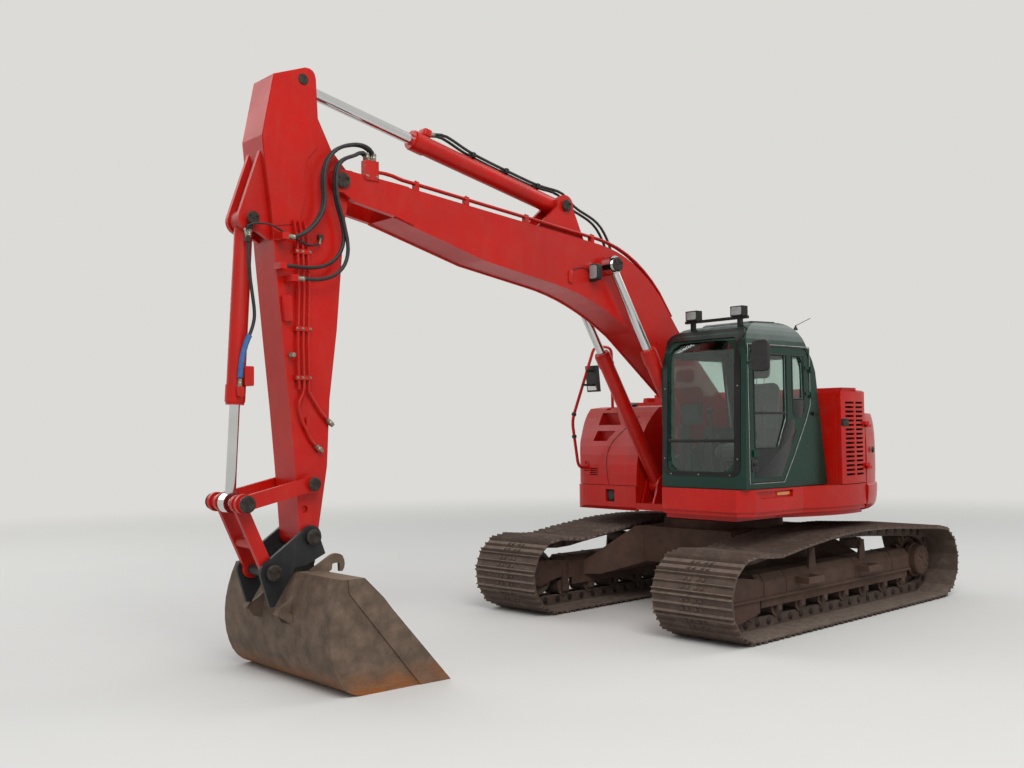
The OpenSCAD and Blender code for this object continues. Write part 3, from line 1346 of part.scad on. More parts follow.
carbody();
tow_lugs();
track_frame_left();
track_frame_right();
track_left();
track_right();
final_drive_left();
final_drive_right();
rollers_left();
rollers_right();
slewing_platform();
left_skirt();
left_rear_housing();
cooler();
left_side_door();
counterweight();
lifting_bosses();
engine_hood();
engine();
swing_motor();
right_front_housing();
right_rear_housing();
right_side_door();
headlamp();
handrail();
handrail_mirror();
cab_shell();
cab_windows();
cab_door();
cab_door_windows();
operator_seat();
cab_controls();
lamp_bar();
cab_mirror();
cab_grab_rail();
boom();
boom_pipes();
arm_hose_1();
arm_hose_2();
arm_hose_3();
arm_hose_4();
boom_cylinder_barrels();
boom_cylinder_rods();
arm_cylinder_barrel();
arm_cylinder_rod();
arm();
arm_pipes();
bucket_cylinder_barrel();
bucket_cylinder_rod();
rocker_links();
bucket_link();
quick_coupler();
bucket();
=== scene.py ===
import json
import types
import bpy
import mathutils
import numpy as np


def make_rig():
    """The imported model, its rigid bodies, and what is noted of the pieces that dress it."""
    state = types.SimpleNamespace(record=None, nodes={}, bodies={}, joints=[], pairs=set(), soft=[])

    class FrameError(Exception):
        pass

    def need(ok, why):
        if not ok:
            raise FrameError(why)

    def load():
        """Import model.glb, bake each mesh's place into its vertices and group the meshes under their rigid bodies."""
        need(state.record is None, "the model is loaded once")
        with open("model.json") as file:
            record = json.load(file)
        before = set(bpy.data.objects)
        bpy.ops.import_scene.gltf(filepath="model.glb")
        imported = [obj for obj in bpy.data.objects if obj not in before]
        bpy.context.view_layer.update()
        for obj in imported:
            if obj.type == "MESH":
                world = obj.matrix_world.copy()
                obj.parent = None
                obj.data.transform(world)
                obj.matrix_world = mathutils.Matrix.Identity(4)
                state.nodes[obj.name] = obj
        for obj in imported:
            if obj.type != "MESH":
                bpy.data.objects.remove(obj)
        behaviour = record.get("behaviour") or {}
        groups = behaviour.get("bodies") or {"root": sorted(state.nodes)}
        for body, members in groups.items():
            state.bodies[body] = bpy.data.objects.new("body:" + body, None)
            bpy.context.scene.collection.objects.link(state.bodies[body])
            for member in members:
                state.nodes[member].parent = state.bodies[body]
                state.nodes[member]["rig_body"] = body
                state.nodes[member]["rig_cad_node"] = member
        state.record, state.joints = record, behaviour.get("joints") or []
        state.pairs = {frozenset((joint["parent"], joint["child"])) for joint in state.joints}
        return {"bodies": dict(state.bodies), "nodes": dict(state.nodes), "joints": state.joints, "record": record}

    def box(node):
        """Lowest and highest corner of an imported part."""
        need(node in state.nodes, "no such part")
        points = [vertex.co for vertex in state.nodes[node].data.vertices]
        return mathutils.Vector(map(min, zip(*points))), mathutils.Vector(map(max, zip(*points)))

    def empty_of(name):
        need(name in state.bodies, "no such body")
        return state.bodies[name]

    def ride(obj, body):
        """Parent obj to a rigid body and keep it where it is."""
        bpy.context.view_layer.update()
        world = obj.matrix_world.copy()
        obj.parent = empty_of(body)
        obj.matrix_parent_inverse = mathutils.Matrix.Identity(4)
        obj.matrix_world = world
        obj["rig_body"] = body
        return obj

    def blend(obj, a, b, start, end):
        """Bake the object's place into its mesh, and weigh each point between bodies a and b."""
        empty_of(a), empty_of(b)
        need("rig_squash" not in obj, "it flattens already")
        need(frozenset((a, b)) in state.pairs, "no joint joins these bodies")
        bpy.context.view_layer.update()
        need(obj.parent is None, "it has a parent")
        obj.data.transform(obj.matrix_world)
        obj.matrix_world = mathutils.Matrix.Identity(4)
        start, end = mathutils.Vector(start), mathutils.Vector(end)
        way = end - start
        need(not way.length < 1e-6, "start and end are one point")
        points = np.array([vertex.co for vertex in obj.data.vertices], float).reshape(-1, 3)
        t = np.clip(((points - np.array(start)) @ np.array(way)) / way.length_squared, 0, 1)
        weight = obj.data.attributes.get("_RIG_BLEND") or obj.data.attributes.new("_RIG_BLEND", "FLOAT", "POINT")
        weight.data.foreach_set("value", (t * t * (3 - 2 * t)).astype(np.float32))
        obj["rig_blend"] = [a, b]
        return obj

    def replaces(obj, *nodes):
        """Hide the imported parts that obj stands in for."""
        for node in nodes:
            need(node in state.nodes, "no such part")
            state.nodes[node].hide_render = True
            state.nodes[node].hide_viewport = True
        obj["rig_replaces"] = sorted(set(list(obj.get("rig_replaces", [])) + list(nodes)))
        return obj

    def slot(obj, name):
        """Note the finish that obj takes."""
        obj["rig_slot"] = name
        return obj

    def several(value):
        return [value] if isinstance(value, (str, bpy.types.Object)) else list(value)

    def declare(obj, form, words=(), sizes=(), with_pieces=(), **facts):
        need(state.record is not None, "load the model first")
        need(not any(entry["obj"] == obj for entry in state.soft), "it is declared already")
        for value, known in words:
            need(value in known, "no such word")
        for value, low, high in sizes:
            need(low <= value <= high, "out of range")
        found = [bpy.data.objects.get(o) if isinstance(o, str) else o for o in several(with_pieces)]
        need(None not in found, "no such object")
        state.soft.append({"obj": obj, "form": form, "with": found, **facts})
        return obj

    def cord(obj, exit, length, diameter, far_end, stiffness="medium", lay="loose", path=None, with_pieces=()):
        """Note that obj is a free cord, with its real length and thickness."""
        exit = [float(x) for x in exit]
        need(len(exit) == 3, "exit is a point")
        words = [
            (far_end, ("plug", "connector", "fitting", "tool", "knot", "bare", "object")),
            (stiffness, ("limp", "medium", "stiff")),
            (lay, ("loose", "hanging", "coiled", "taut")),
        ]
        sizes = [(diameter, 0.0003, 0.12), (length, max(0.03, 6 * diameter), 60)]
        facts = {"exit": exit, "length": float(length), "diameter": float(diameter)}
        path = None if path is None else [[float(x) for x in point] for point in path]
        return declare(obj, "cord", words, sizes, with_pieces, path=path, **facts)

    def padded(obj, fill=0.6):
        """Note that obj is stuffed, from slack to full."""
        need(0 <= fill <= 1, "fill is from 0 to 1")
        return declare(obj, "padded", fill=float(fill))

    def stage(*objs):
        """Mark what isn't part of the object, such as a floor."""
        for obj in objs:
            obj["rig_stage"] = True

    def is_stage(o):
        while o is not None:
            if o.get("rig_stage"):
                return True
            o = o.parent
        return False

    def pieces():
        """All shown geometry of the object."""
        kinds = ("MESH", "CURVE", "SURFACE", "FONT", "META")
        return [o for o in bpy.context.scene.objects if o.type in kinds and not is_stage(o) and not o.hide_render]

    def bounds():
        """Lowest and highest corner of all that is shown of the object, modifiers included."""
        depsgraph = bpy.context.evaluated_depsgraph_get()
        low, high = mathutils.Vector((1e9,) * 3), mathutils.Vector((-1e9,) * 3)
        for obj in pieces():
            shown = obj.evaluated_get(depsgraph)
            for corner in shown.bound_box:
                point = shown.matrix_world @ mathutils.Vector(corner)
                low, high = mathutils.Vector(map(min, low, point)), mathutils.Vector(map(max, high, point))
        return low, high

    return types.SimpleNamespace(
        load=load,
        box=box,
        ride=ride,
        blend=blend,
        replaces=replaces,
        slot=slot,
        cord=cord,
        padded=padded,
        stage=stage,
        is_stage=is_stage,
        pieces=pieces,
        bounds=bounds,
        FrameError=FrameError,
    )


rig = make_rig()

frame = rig.load()
cad_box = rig.bounds()

import json
import math

import bpy
import numpy as np
from bpy.props import FloatProperty, FloatVectorProperty, PointerProperty
from mathutils import Matrix, Vector

bl_info = {
    "name": "Crawler excavator dressing",
    "version": (1, 0, 0),
    "blender": (4, 5, 0),
    "location": "3D View > Sidebar > Excavator",
    "description": "Finishes, hoses, hardware and trim for a short-tail crawler excavator",
    "category": "Object",
}

# Everything is in metres in the frame's axes: X forward along the boom, Y to the cab's side, Z up.
AHEAD, BACK, OUT, UP = (1, 0, 0), (-1, 0, 0), (0, 1, 0), (0, 0, 1)
# Edges between faces that turn more than this stay sharp
SHARP = math.radians(35)
# Rings along a cord
RINGS = 40


# Numbers and colours

def linear(code, alpha=1.0):
    """An sRGB hex colour as linear RGBA: each channel over 0.04045 goes by the 2.4 power curve, the rest by 12.92."""
    srgb = [int(code[i:i + 2], 16) / 255 for i in (0, 2, 4)]
    return tuple(c / 12.92 if c <= 0.04045 else ((c + 0.055) / 1.055) ** 2.4 for c in srgb) + (alpha,)


def per_metre(millimetres):
    """How many features of this size fit in a metre, which is a noise texture's scale."""
    return 1000.0 / millimetres


# Surfaces: each shape is a pair (vertices, faces), worked out as whole arrays

def grid_faces(rows, columns, wrap, closed=False):
    """Quads between neighbouring rows of a rows x columns grid. With wrap, the last column joins the first,
    and with closed, the last row joins the first."""
    across = columns if wrap else columns - 1
    i, j = np.meshgrid(np.arange(rows if closed else rows - 1), np.arange(across), indexing="ij")
    k, m = (j + 1) % columns, (i + 1) % rows
    quads = np.stack([i * columns + j, i * columns + k, m * columns + k, m * columns + j], axis=-1)
    return quads.reshape(-1, 4)


def closed_rings(rings):
    """A tube of rings (n, k, 3) with a flat face on each end."""
    n, k, _ = rings.shape
    faces = grid_faces(n, k, True).tolist()
    faces.append(list(range(k))[::-1])
    faces.append(list(range((n - 1) * k, n * k)))
    return rings.reshape(-1, 3), faces


def rings_along(path, profile, side=None, growth=1.0, closed=False):
    """Profile (k, 2) at each point of path (n, 3): point = path + growth * (u * U + v * V), where U is side x
    direction and V is direction x U. Without a side, it is the axis that the path follows least."""
    path, profile = np.asarray(path, float), np.asarray(profile, float)
    along = np.roll(path, -1, 0) - np.roll(path, 1, 0) if closed else np.gradient(path, axis=0)
    along /= np.linalg.norm(along, axis=1, keepdims=True)
    if side is None:
        side = np.eye(3)[np.argmin(np.abs(along).max(axis=0))]
    u = np.cross(np.asarray(side, float), along)
    u /= np.linalg.norm(u, axis=1, keepdims=True)
    across = profile[None, :, :1] * u[:, None] + profile[None, :, 1:] * np.cross(along, u)[:, None]
    return path[:, None] + np.broadcast_to(growth, len(path))[:, None, None] * across


def sweep(path, profile, side=None, growth=1.0):
    """Profile carried along a path, with a flat face on each end."""
    return closed_rings(rings_along(path, profile, side, growth))


def hoop(path, profile, side):
    """Profile carried round a closed path."""
    rings = rings_along(path, profile, side, closed=True)
    return rings.reshape(-1, 3), grid_faces(len(path), len(profile), True, closed=True).tolist()


def circle(radius, sides):
    """Points at equal angles round a circle."""
    a = np.arange(sides) * 2 * np.pi / sides
    return np.stack([radius * np.cos(a), radius * np.sin(a)], axis=1)


def smooth_path(points, steps):
    """A Catmull-Rom curve through the points: on each span the four blending cubics of t weigh the span's
    two points and their neighbours."""
    p = np.asarray(points, float)
    p = np.vstack([2 * p[0] - p[1], p, 2 * p[-1] - p[-2]])
    t = np.linspace(0, 1, steps, endpoint=False)[:, None]
    weights = (-t + 2 * t**2 - t**3, 2 - 5 * t**2 + 3 * t**3, t + 4 * t**2 - 3 * t**3, -t**2 + t**3)
    spans = sum(w[None] * p[k:len(p) - 3 + k][:, None] for k, w in enumerate(weights)) / 2
    return np.vstack([spans.reshape(-1, 3), p[-2]])


def tube(path, radius, sides=12, side=None):
    """A circle carried along the path."""
    return sweep(path, circle(radius, sides), side)


def arc_lengths(points):
    """Distance along a polyline to each of its points."""
    return np.concatenate([[0], np.cumsum(np.linalg.norm(np.diff(points, axis=0), axis=1))])


def parted(points, parts):
    """Points that part a polyline into equal lengths: each coordinate is interpolated over the arc length."""
    p = np.asarray(points, float)
    s = arc_lengths(p)
    t = np.linspace(0, s[-1], parts + 1)
    return np.stack([np.interp(t, s, c) for c in p.T], axis=1)


def spaced(points, step):
    """Points that part a polyline into equal lengths no shorter than the step, where it is that long."""
    return parted(points, max(int(arc_lengths(points)[-1] / step), 1))


def weld(points, radius, side, ripple=0.02):
    """A weld bead: a circle carried along the line, half of it sunk in the plates, whose radius swells by an eighth
    at each ripple: r * (1 + sin(2 pi s / ripple) / 8)."""
    path = spaced(points, ripple / 4)
    return sweep(path, circle(radius, 6), side, 1 + np.sin(np.arange(len(path)) * np.pi / 2) / 8)


def in_xz(points, y):
    """Points [x, z] as points in space at this y."""
    p = np.asarray(points, float)
    return np.stack([p[:, 0], np.full(len(p), y), p[:, 1]], axis=1)


def curve(a, b, c, n):
    """A parabola from a to c that leaves and meets along a-b and b-c: mix(mix(a, b, t), mix(b, c, t), t)."""
    t = np.linspace(0, 1, n + 1)[:, None]
    a, b, c = (np.asarray(v, float) for v in (a, b, c))
    return (1 - t) ** 2 * a + 2 * t * (1 - t) * b + t**2 * c


def lathe(profile, sides=24):
    """(radius, height) points turned about Z: point = (r cos a, r sin a, h), with flat ends."""
    profile = np.asarray(profile, float)
    ring = circle(1.0, sides)
    rings = np.concatenate([profile[:, None, :1] * ring[None], np.repeat(profile[:, None, 1:], sides, 1)], axis=2)
    return closed_rings(rings)


def inset(outline, distance):
    """A closed outline moved inward: each corner goes along its mitre, whose length is the distance over the cosine
    of half the turn. A negative distance moves it outward. The outline is counter-clockwise."""
    outline = np.asarray(outline, float)
    ahead = np.roll(outline, -1, 0) - outline
    ahead /= np.linalg.norm(ahead, axis=1, keepdims=True)
    normal = np.stack([ahead[:, 1], -ahead[:, 0]], axis=1)
    corner = normal + np.roll(normal, 1, 0)
    corner /= np.maximum(np.sum(corner * normal, axis=1, keepdims=True), 0.3)
    return outline - distance * corner


def subdivided(outline, parts):
    """A closed outline with each of its edges cut into equal parts."""
    t = np.arange(parts)[None, :, None] / parts
    return (outline[:, None] + t * (np.roll(outline, -1, 0) - outline)[:, None]).reshape(-1, outline.shape[1])


def slab(outline, height, edge=0.003, steps=3):
    """An outline (k, 2), counter-clockwise, raised to height with rounded edges: ring i lies inside the outline
    by edge * (1 - sin a) at edge * (1 - cos a) from its end, as a goes from 0 to 90 degrees."""
    a = np.linspace(0, np.pi / 2, steps)
    inward = edge * (1 - np.sin(a))
    level = edge * (1 - np.cos(a))
    levels = np.concatenate([level, height - level[::-1]])
    flat = np.stack([inset(outline, d) for d in np.concatenate([inward, inward[::-1]])])
    rings = np.concatenate([flat, np.repeat(levels[:, None, None], flat.shape[1], 1)], axis=2)
    return closed_rings(rings)


# A stuffed form: how far its sides pull in between the corners, and a sewn channel's depth and half width
PULL_IN, CHANNEL_DEPTH, CHANNEL_HALF = 0.025, 0.009, 0.007


def pad(width, depth, thick, crown, corner, seams):
    """A stuffed form. Its outline is a rounded rectangle whose sides pull in between the corners by
    PULL_IN * cos(2 a) squared, rings of it go from the middle of the flat underside out over the half-round side
    and back to the middle of the top, whose height is crown * (1 - k squared) at k of the way out, and each
    sewn channel at y0 sinks it by CHANNEL_DEPTH * exp(-((y - y0) / CHANNEL_HALF) squared)."""
    outline = subdivided(rounded_rectangle(width, depth, corner, 6), 5)
    a = np.arctan2(outline[:, 1] / depth, outline[:, 0] / width)
    outline = outline * (1 - PULL_IN * np.cos(2 * a) ** 2)[:, None]
    round_ = np.linspace(-np.pi / 2, np.pi / 2, 13)
    edge = thick * 0.9 / min(width, depth)
    top = np.linspace(1 - edge, 0.02, 30)[1:]
    k = np.concatenate([[0.05, 0.4, 0.7], 1 - edge * (1 - np.cos(round_)), top])
    z = np.concatenate([[0, 0, 0], thick / 2 * (1 + np.sin(round_)), thick + crown * (1 - (top / (1 - edge)) ** 2)])
    flat = k[:, None, None] * outline[None]
    height = np.repeat(z[:, None], len(outline), axis=1)
    # the channels fade out over the upper part of the side
    on_top = np.clip((height / thick - 0.55) / 0.4, 0, 1)
    for y0 in seams:
        height = height - CHANNEL_DEPTH * on_top * np.exp(-((flat[:, :, 1] - y0) / CHANNEL_HALF) ** 2)
    return closed_rings(np.concatenate([flat, height[:, :, None]], axis=2))


def rounded_rectangle(width, height, radius, steps=4):
    """Corners of a rectangle about its middle, each a quarter circle."""
    a = np.linspace(0, np.pi / 2, steps)
    quarter = np.stack([np.cos(a), np.sin(a)], axis=1) * radius
    turns = [np.array([[math.cos(t), math.sin(t)], [-math.sin(t), math.cos(t)]]) for t in np.arange(4) * np.pi / 2]
    middle = [(1, 1), (-1, 1), (-1, -1), (1, -1)]
    return np.vstack([quarter @ turn + np.array([sx * (width / 2 - radius), sy * (height / 2 - radius)])
                      for turn, (sx, sy) in zip(turns, middle)])


def placed(shape, at, facing=UP, up=AHEAD):
    """The shape with its own Z along facing and its X as near up as that allows."""
    z = Vector(facing).normalized()
    x = (Vector(up) - z * Vector(up).dot(z)).normalized()
    turn = np.array(Matrix((x, z.cross(x), z)))
    return shape[0] @ turn + np.asarray(at, float), shape[1]


def copies(shape, places, z, x):
    """The shape at every place with its Z along z and its X along x: all its points times every turn at once."""
    verts, faces = shape
    places = np.asarray(places, float).reshape(-1, 3)
    z, x = np.broadcast_to(z, places.shape).astype(float), np.broadcast_to(x, places.shape).astype(float)
    turns = np.stack([x, np.cross(z, x), z], axis=1)
    spread = (verts[None] @ turns + places[:, None]).reshape(-1, 3)
    return spread, [[i + k * len(verts) for i in face] for k in range(len(places)) for face in faces]


def bolt(width):
    """A washer and a hexagon head with a chamfered top, for a spanner of this width."""
    washer, head = [(0.66, 0), (0.66, 0.1), (0.6, 0.13)], [(0.57, 0.1), (0.57, 0.5), (0.48, 0.6)]
    return joined([lathe(np.array(washer) * width, 12), lathe(np.array(head) * width, 6)])


def pin_cap(radius, thick):
    """A turned cap with a chamfer, a shallow ring and a sunk middle with its grease nipple."""
    cap = [(1, 0), (1, 0.75), (0.9, 1), (0.62, 1), (0.58, 0.8), (0.3, 0.8), (0.26, 0.6)]
    nipple = [(0.12, 0.5), (0.12, 1.05), (0.06, 1.2)]
    return joined([lathe(np.array(cap) * (radius, thick), 32), lathe(np.array(nipple) * (radius, thick), 10)])


def joined(shapes):
    """Several shapes as one list of vertices and faces."""
    verts, faces, start = [], [], 0
    for v, f in shapes:
        verts.append(v)
        faces.extend([[i + start for i in face] for face in f])
        start += len(v)
    return np.vstack(verts), faces


def piece(name, shapes, material, body):
    """Puts the shapes into one mesh object at the origin. It rides on a body, or bends between two where the body
    is given as (first, second, start, end)."""
    verts, faces = joined(shapes) if isinstance(shapes, list) else shapes
    mesh = bpy.data.meshes.new(name)
    mesh.from_pydata(verts.tolist(), [], faces)
    mesh.validate()
    mesh.shade_smooth()
    mesh.set_sharp_from_angle(angle=SHARP)
    obj = bpy.data.objects.new(name, mesh)
    bpy.context.scene.collection.objects.link(obj)
    mesh.materials.append(bpy.data.materials[material])
    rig.slot(obj, SLOTS[material])
    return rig.ride(obj, body) if isinstance(body, str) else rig.blend(obj, *body)


def pieces_of_plates(rows):
    """Makes each row's piece: its name, material and body, and then its plates."""
    for name, material, body, *plates in rows:
        piece(name, [plate(*facts) for facts in plates], material, body)


def turned_pieces(rows):
    """Makes each row's piece: its name, material and body, its profile and sides, and each copy's place and facing."""
    for name, material, body, profile, sides, *places in rows:
        piece(name, [placed(lathe(profile, sides), at, facing) for at, facing in places], material, body)


def length(name, description, default):
    """A length in metres that a user can set."""
    return FloatProperty(name=name, description=description, unit="LENGTH", default=default)


def angle(name, description, degrees):
    """An angle that a user can set."""
    return FloatProperty(name=name, description=description, subtype="ANGLE", default=math.radians(degrees))


# Materials

def add(tree, kind, inputs=None, **settings):
    """Adds a node, sets its properties and feeds its inputs."""
    node = tree.nodes.new(kind)
    for key, value in settings.items():
        setattr(node, key, value)
    for key, value in (inputs or {}).items():
        feed(tree, node.inputs[key], value)
    return node


def feed(tree, socket, value):
    """Links an output to the socket, or sets the socket's value. A string is a hex colour."""
    if isinstance(value, bpy.types.NodeSocket):
        tree.links.new(value, socket)
    else:
        socket.default_value = linear(value) if isinstance(value, str) else value


class Finish:
    """A material in the making: its Principled shader, and patterns in object coordinates with sizes in millimetres."""

    def __init__(self, name):
        self.material = bpy.data.materials.new(name)
        self.material.use_nodes = True
        self.tree = self.material.node_tree
        self.tree.nodes.clear()
        self.shader = self.add("ShaderNodeBsdfPrincipled")
        self.output = self.add("ShaderNodeOutputMaterial", {"Surface": self.shader.outputs["BSDF"]})
        self.place = self.add("ShaderNodeTexCoord")

    def add(self, kind, inputs=None, **settings):
        return add(self.tree, kind, inputs, **settings)

    def fill(self, **values):
        """Feeds the shader's sockets, whose names have _ for a space."""
        for socket, value in values.items():
            feed(self.tree, self.shader.inputs[socket.replace("_", " ")], value)

    def instead(self, mask, other):
        """Shows another shader where the mask is 1."""
        mixed = self.add("ShaderNodeMixShader", {0: mask, 1: self.shader.outputs["BSDF"], 2: other.outputs[0]})
        self.tree.links.new(mixed.outputs[0], self.output.inputs["Surface"])

    def math(self, operation, a, b):
        return self.add("ShaderNodeMath", {0: a, 1: b}, operation=operation).outputs[0]

    def times(self, a, b):
        """The product of two masks."""
        return self.math("MULTIPLY", a, b)

    def ranged(self, value, start=0.0, end=1.0, low=0.0, high=1.0):
        """The value's range from start to end as low to high, and held at these beyond it."""
        return self.add("ShaderNodeMapRange", {
            "Value": value, "From Min": start, "From Max": end, "To Min": low, "To Max": high}).outputs["Result"]

    def noise(self, size, detail, roughness=0.5, stretch=(1, 1, 1)):
        """Noise with patches of this size."""
        vector = self.add("ShaderNodeMapping", {"Vector": self.place.outputs["Object"], "Scale": stretch})
        return self.add("ShaderNodeTexNoise", {
            "Vector": vector.outputs["Vector"], "Scale": per_metre(size), "Detail": detail,
            "Roughness": roughness}).outputs["Fac"]

    def mask(self, size, low, high, detail=5.0, stretch=(1, 1, 1)):
        """Noise as a mask that goes from 0 at low to 1 at high."""
        return self.ranged(self.noise(size, detail, 0.6, stretch), low, high)

    def waves(self, axis, size, distortion=0.0):
        """Sine waves this far apart along an axis. The node's scale counts radians."""
        return self.add("ShaderNodeTexWave", {
            "Vector": self.place.outputs["Object"], "Scale": per_metre(size) / 6.283,
            "Distortion": distortion}, bands_direction=axis).outputs["Fac"]

    def upward(self, start, end):
        """A mask that grows from start to end with how far a face points up, where dust settles."""
        split = self.add("ShaderNodeSeparateXYZ", {0: self.place.outputs["Normal"]})
        return self.ranged(split.outputs["Z"], start, end)

    def over(self, below, above, mask, share=1.0):
        """A colour laid over another where the mask is 1, and let through by 1 - share there."""
        if share < 1.0:
            mask = self.times(mask, share)
        return self.add("ShaderNodeMix", {0: mask, 6: below, 7: above}, data_type="RGBA").outputs[2]

    def bumps(self, height, strength, depth, under=None):
        """The normals of a height pattern, on top of other normals."""
        inputs = {"Height": height, "Strength": strength, "Distance": depth}
        if under is not None:
            inputs["Normal"] = under
        return self.add("ShaderNodeBump", inputs).outputs["Normal"]

    def grainy(self, colour, grain, smooth, rough, strength, depth, **values):
        """Fills the shader with a colour, and with roughness and bumps that follow one grain."""
        self.fill(Base_Color=colour, Roughness=self.ranged(grain, low=smooth, high=rough),
                  Normal=self.bumps(grain, strength, depth), **values)


def worn_enamel(f, fresh, faded, chipped, dust, gloss):
    """Sprayed machine enamel: slightly faded patches, rain streaks of dust, dust on the upper faces, small chips
    down to rust and the orange-peel of a thick sprayed coat."""
    fade = f.mask(700, 0.35, 0.75)
    coat = f.over(fresh, faded, fade)
    coat = f.over(coat, dust, f.mask(180, 0.45, 0.8, detail=8), 0.14)
    # rain streaks run down the sides, so their noise is drawn out ten times in height
    coat = f.over(coat, dust, f.mask(45, 0.55, 0.85, stretch=(1, 1, 0.1)), 0.16)
    lying = f.times(f.upward(0.5, 1.0), f.mask(90, 0.25, 0.7))
    coat = f.over(coat, dust, lying, 0.18)
    coat = f.over(coat, chipped, f.times(f.mask(16, 0.66, 0.69, detail=3), f.mask(260, 0.5, 0.62)))
    dull = f.math("MAXIMUM", lying, f.times(fade, 0.6))
    # soft dents, and orange-peel waves of about 4 mm, drawn at 7 mm so that they still show from three metres
    dents = f.bumps(f.noise(320, 1), 0.25, 0.02)
    f.fill(Base_Color=coat, Roughness=f.ranged(dull, low=gloss, high=gloss + 0.3), Specular_IOR_Level=0.32,
           Normal=f.bumps(f.noise(7, 2), 0.12, 0.001, dents))


def rolled_rusty_steel(f, iron, rust, mud, size):
    """Hot-rolled or cast steel left bare: brown scale, orange rust in patches and dried mud in the hollows,
    rough everywhere, with pits a few millimetres wide."""
    base = f.over(iron, rust, f.mask(size, 0.35, 0.65, detail=8))
    base = f.over(base, mud, f.mask(size * 3, 0.5, 0.8, detail=10), 0.4)
    base = f.over(base, mud, f.times(f.upward(0.4, 1.0), f.mask(60, 0.2, 0.6)), 0.7)
    f.grainy(base, f.noise(9, 6, 0.7), 0.62, 0.95, 0.6, 0.003, Metallic=0.15)


def bucket_plate(f, soil, pale, rust, bare, dust):
    """Abrasion-resistant rolled plate of the bucket: brown with soil, orange rust over its lowest 200 mm and
    scoured streaks along the digging direction."""
    base = f.over(soil, pale, f.mask(140, 0.35, 0.7, detail=9))
    split = f.add("ShaderNodeSeparateXYZ", {0: f.place.outputs["Object"]})
    near_lip = f.ranged(split.outputs["Z"], 0.2, 0.0)
    base = f.over(base, rust, f.times(near_lip, f.mask(110, 0.3, 0.6, detail=9)))
    base = f.over(base, bare, f.times(f.mask(12, 0.5, 0.75, stretch=(0.06, 1, 1)), near_lip), 0.4)
    base = f.over(base, dust, f.upward(0.5, 1.0), 0.35)
    f.grainy(base, f.noise(14, 8, 0.7), 0.5, 0.9, 0.5, 0.003, Metallic=0.25)


def hard_chrome(f, bright, oily):
    """Hard-chromed ground steel rod: mirror-bright with a thin oily film that dulls it in bands."""
    film = f.mask(400, 0.4, 0.7)
    f.fill(Base_Color=f.over(bright, oily, film, 0.25), Roughness=f.ranged(film, low=0.1, high=0.2), Metallic=1.0)


def oily_iron(f, light, dark, metal, smooth):
    """Cast or turned iron with an oil film: dark in patches, fine casting grain."""
    base = f.over(light, dark, f.mask(40, 0.35, 0.7, detail=8))
    f.grainy(base, f.noise(5, 4), smooth, smooth + 0.35, 0.25, 0.001, Metallic=metal)


def moulded(f, fresh, worn, grain, smooth, dust="8A8177"):
    """Moulded rubber or plastic: a dull grey bloom in patches, dust on top, and the mould's fine grain."""
    base = f.over(fresh, worn, f.mask(70, 0.4, 0.75), 0.6)
    base = f.over(base, dust, f.upward(0.5, 1.0), 0.25)
    cells = f.add("ShaderNodeTexVoronoi", {"Vector": f.place.outputs["Object"], "Scale": per_metre(grain)})
    f.grainy(base, cells.outputs["Distance"], smooth, smooth + 0.2, 0.2, 0.0006)


def woven_cloth(f, low, high, worn):
    """Woven polyester seat cloth: two crossed sine waves for warp and weft threads 2.4 mm apart, drawn wider than
    the real 0.8 mm so that they show through the glass."""
    weave = f.math("MAXIMUM", *(f.waves(axis, 2.4, 0.6) for axis in "YZ"))
    cloth = f.over(f.over(low, high, weave), worn, f.mask(120, 0.4, 0.7), 0.4)
    f.fill(Base_Color=cloth, Normal=f.bumps(weave, 0.5, 0.0008), Roughness=0.92, Sheen_Weight=0.3)


def float_glass(f, tint, dust, dirt, shade):
    """Toughened float glass: clear and slightly green, with wiped dust. Lamps shine through it."""
    haze = f.mask(300, 0.4, 0.8, detail=8)
    f.fill(Base_Color=f.over(tint, dust, haze, dirt), Roughness=f.ranged(haze, low=0.0, high=0.12),
           Transmission_Weight=1.0, IOR=1.5)
    rays = f.add("ShaderNodeLightPath")
    f.instead(rays.outputs["Is Shadow Ray"], f.add("ShaderNodeBsdfTransparent", {"Color": shade}))


def lamp_lens(f, glass, depth):
    """Pressed lens of a work lamp: clear plastic over a bright reflector, with 6 mm ribs."""
    ribs = f.waves("Y", 6)
    f.fill(Base_Color=f.over(depth, glass, ribs), Normal=f.bumps(ribs, 0.4, 0.002), Roughness=0.12, Coat_Weight=1.0)


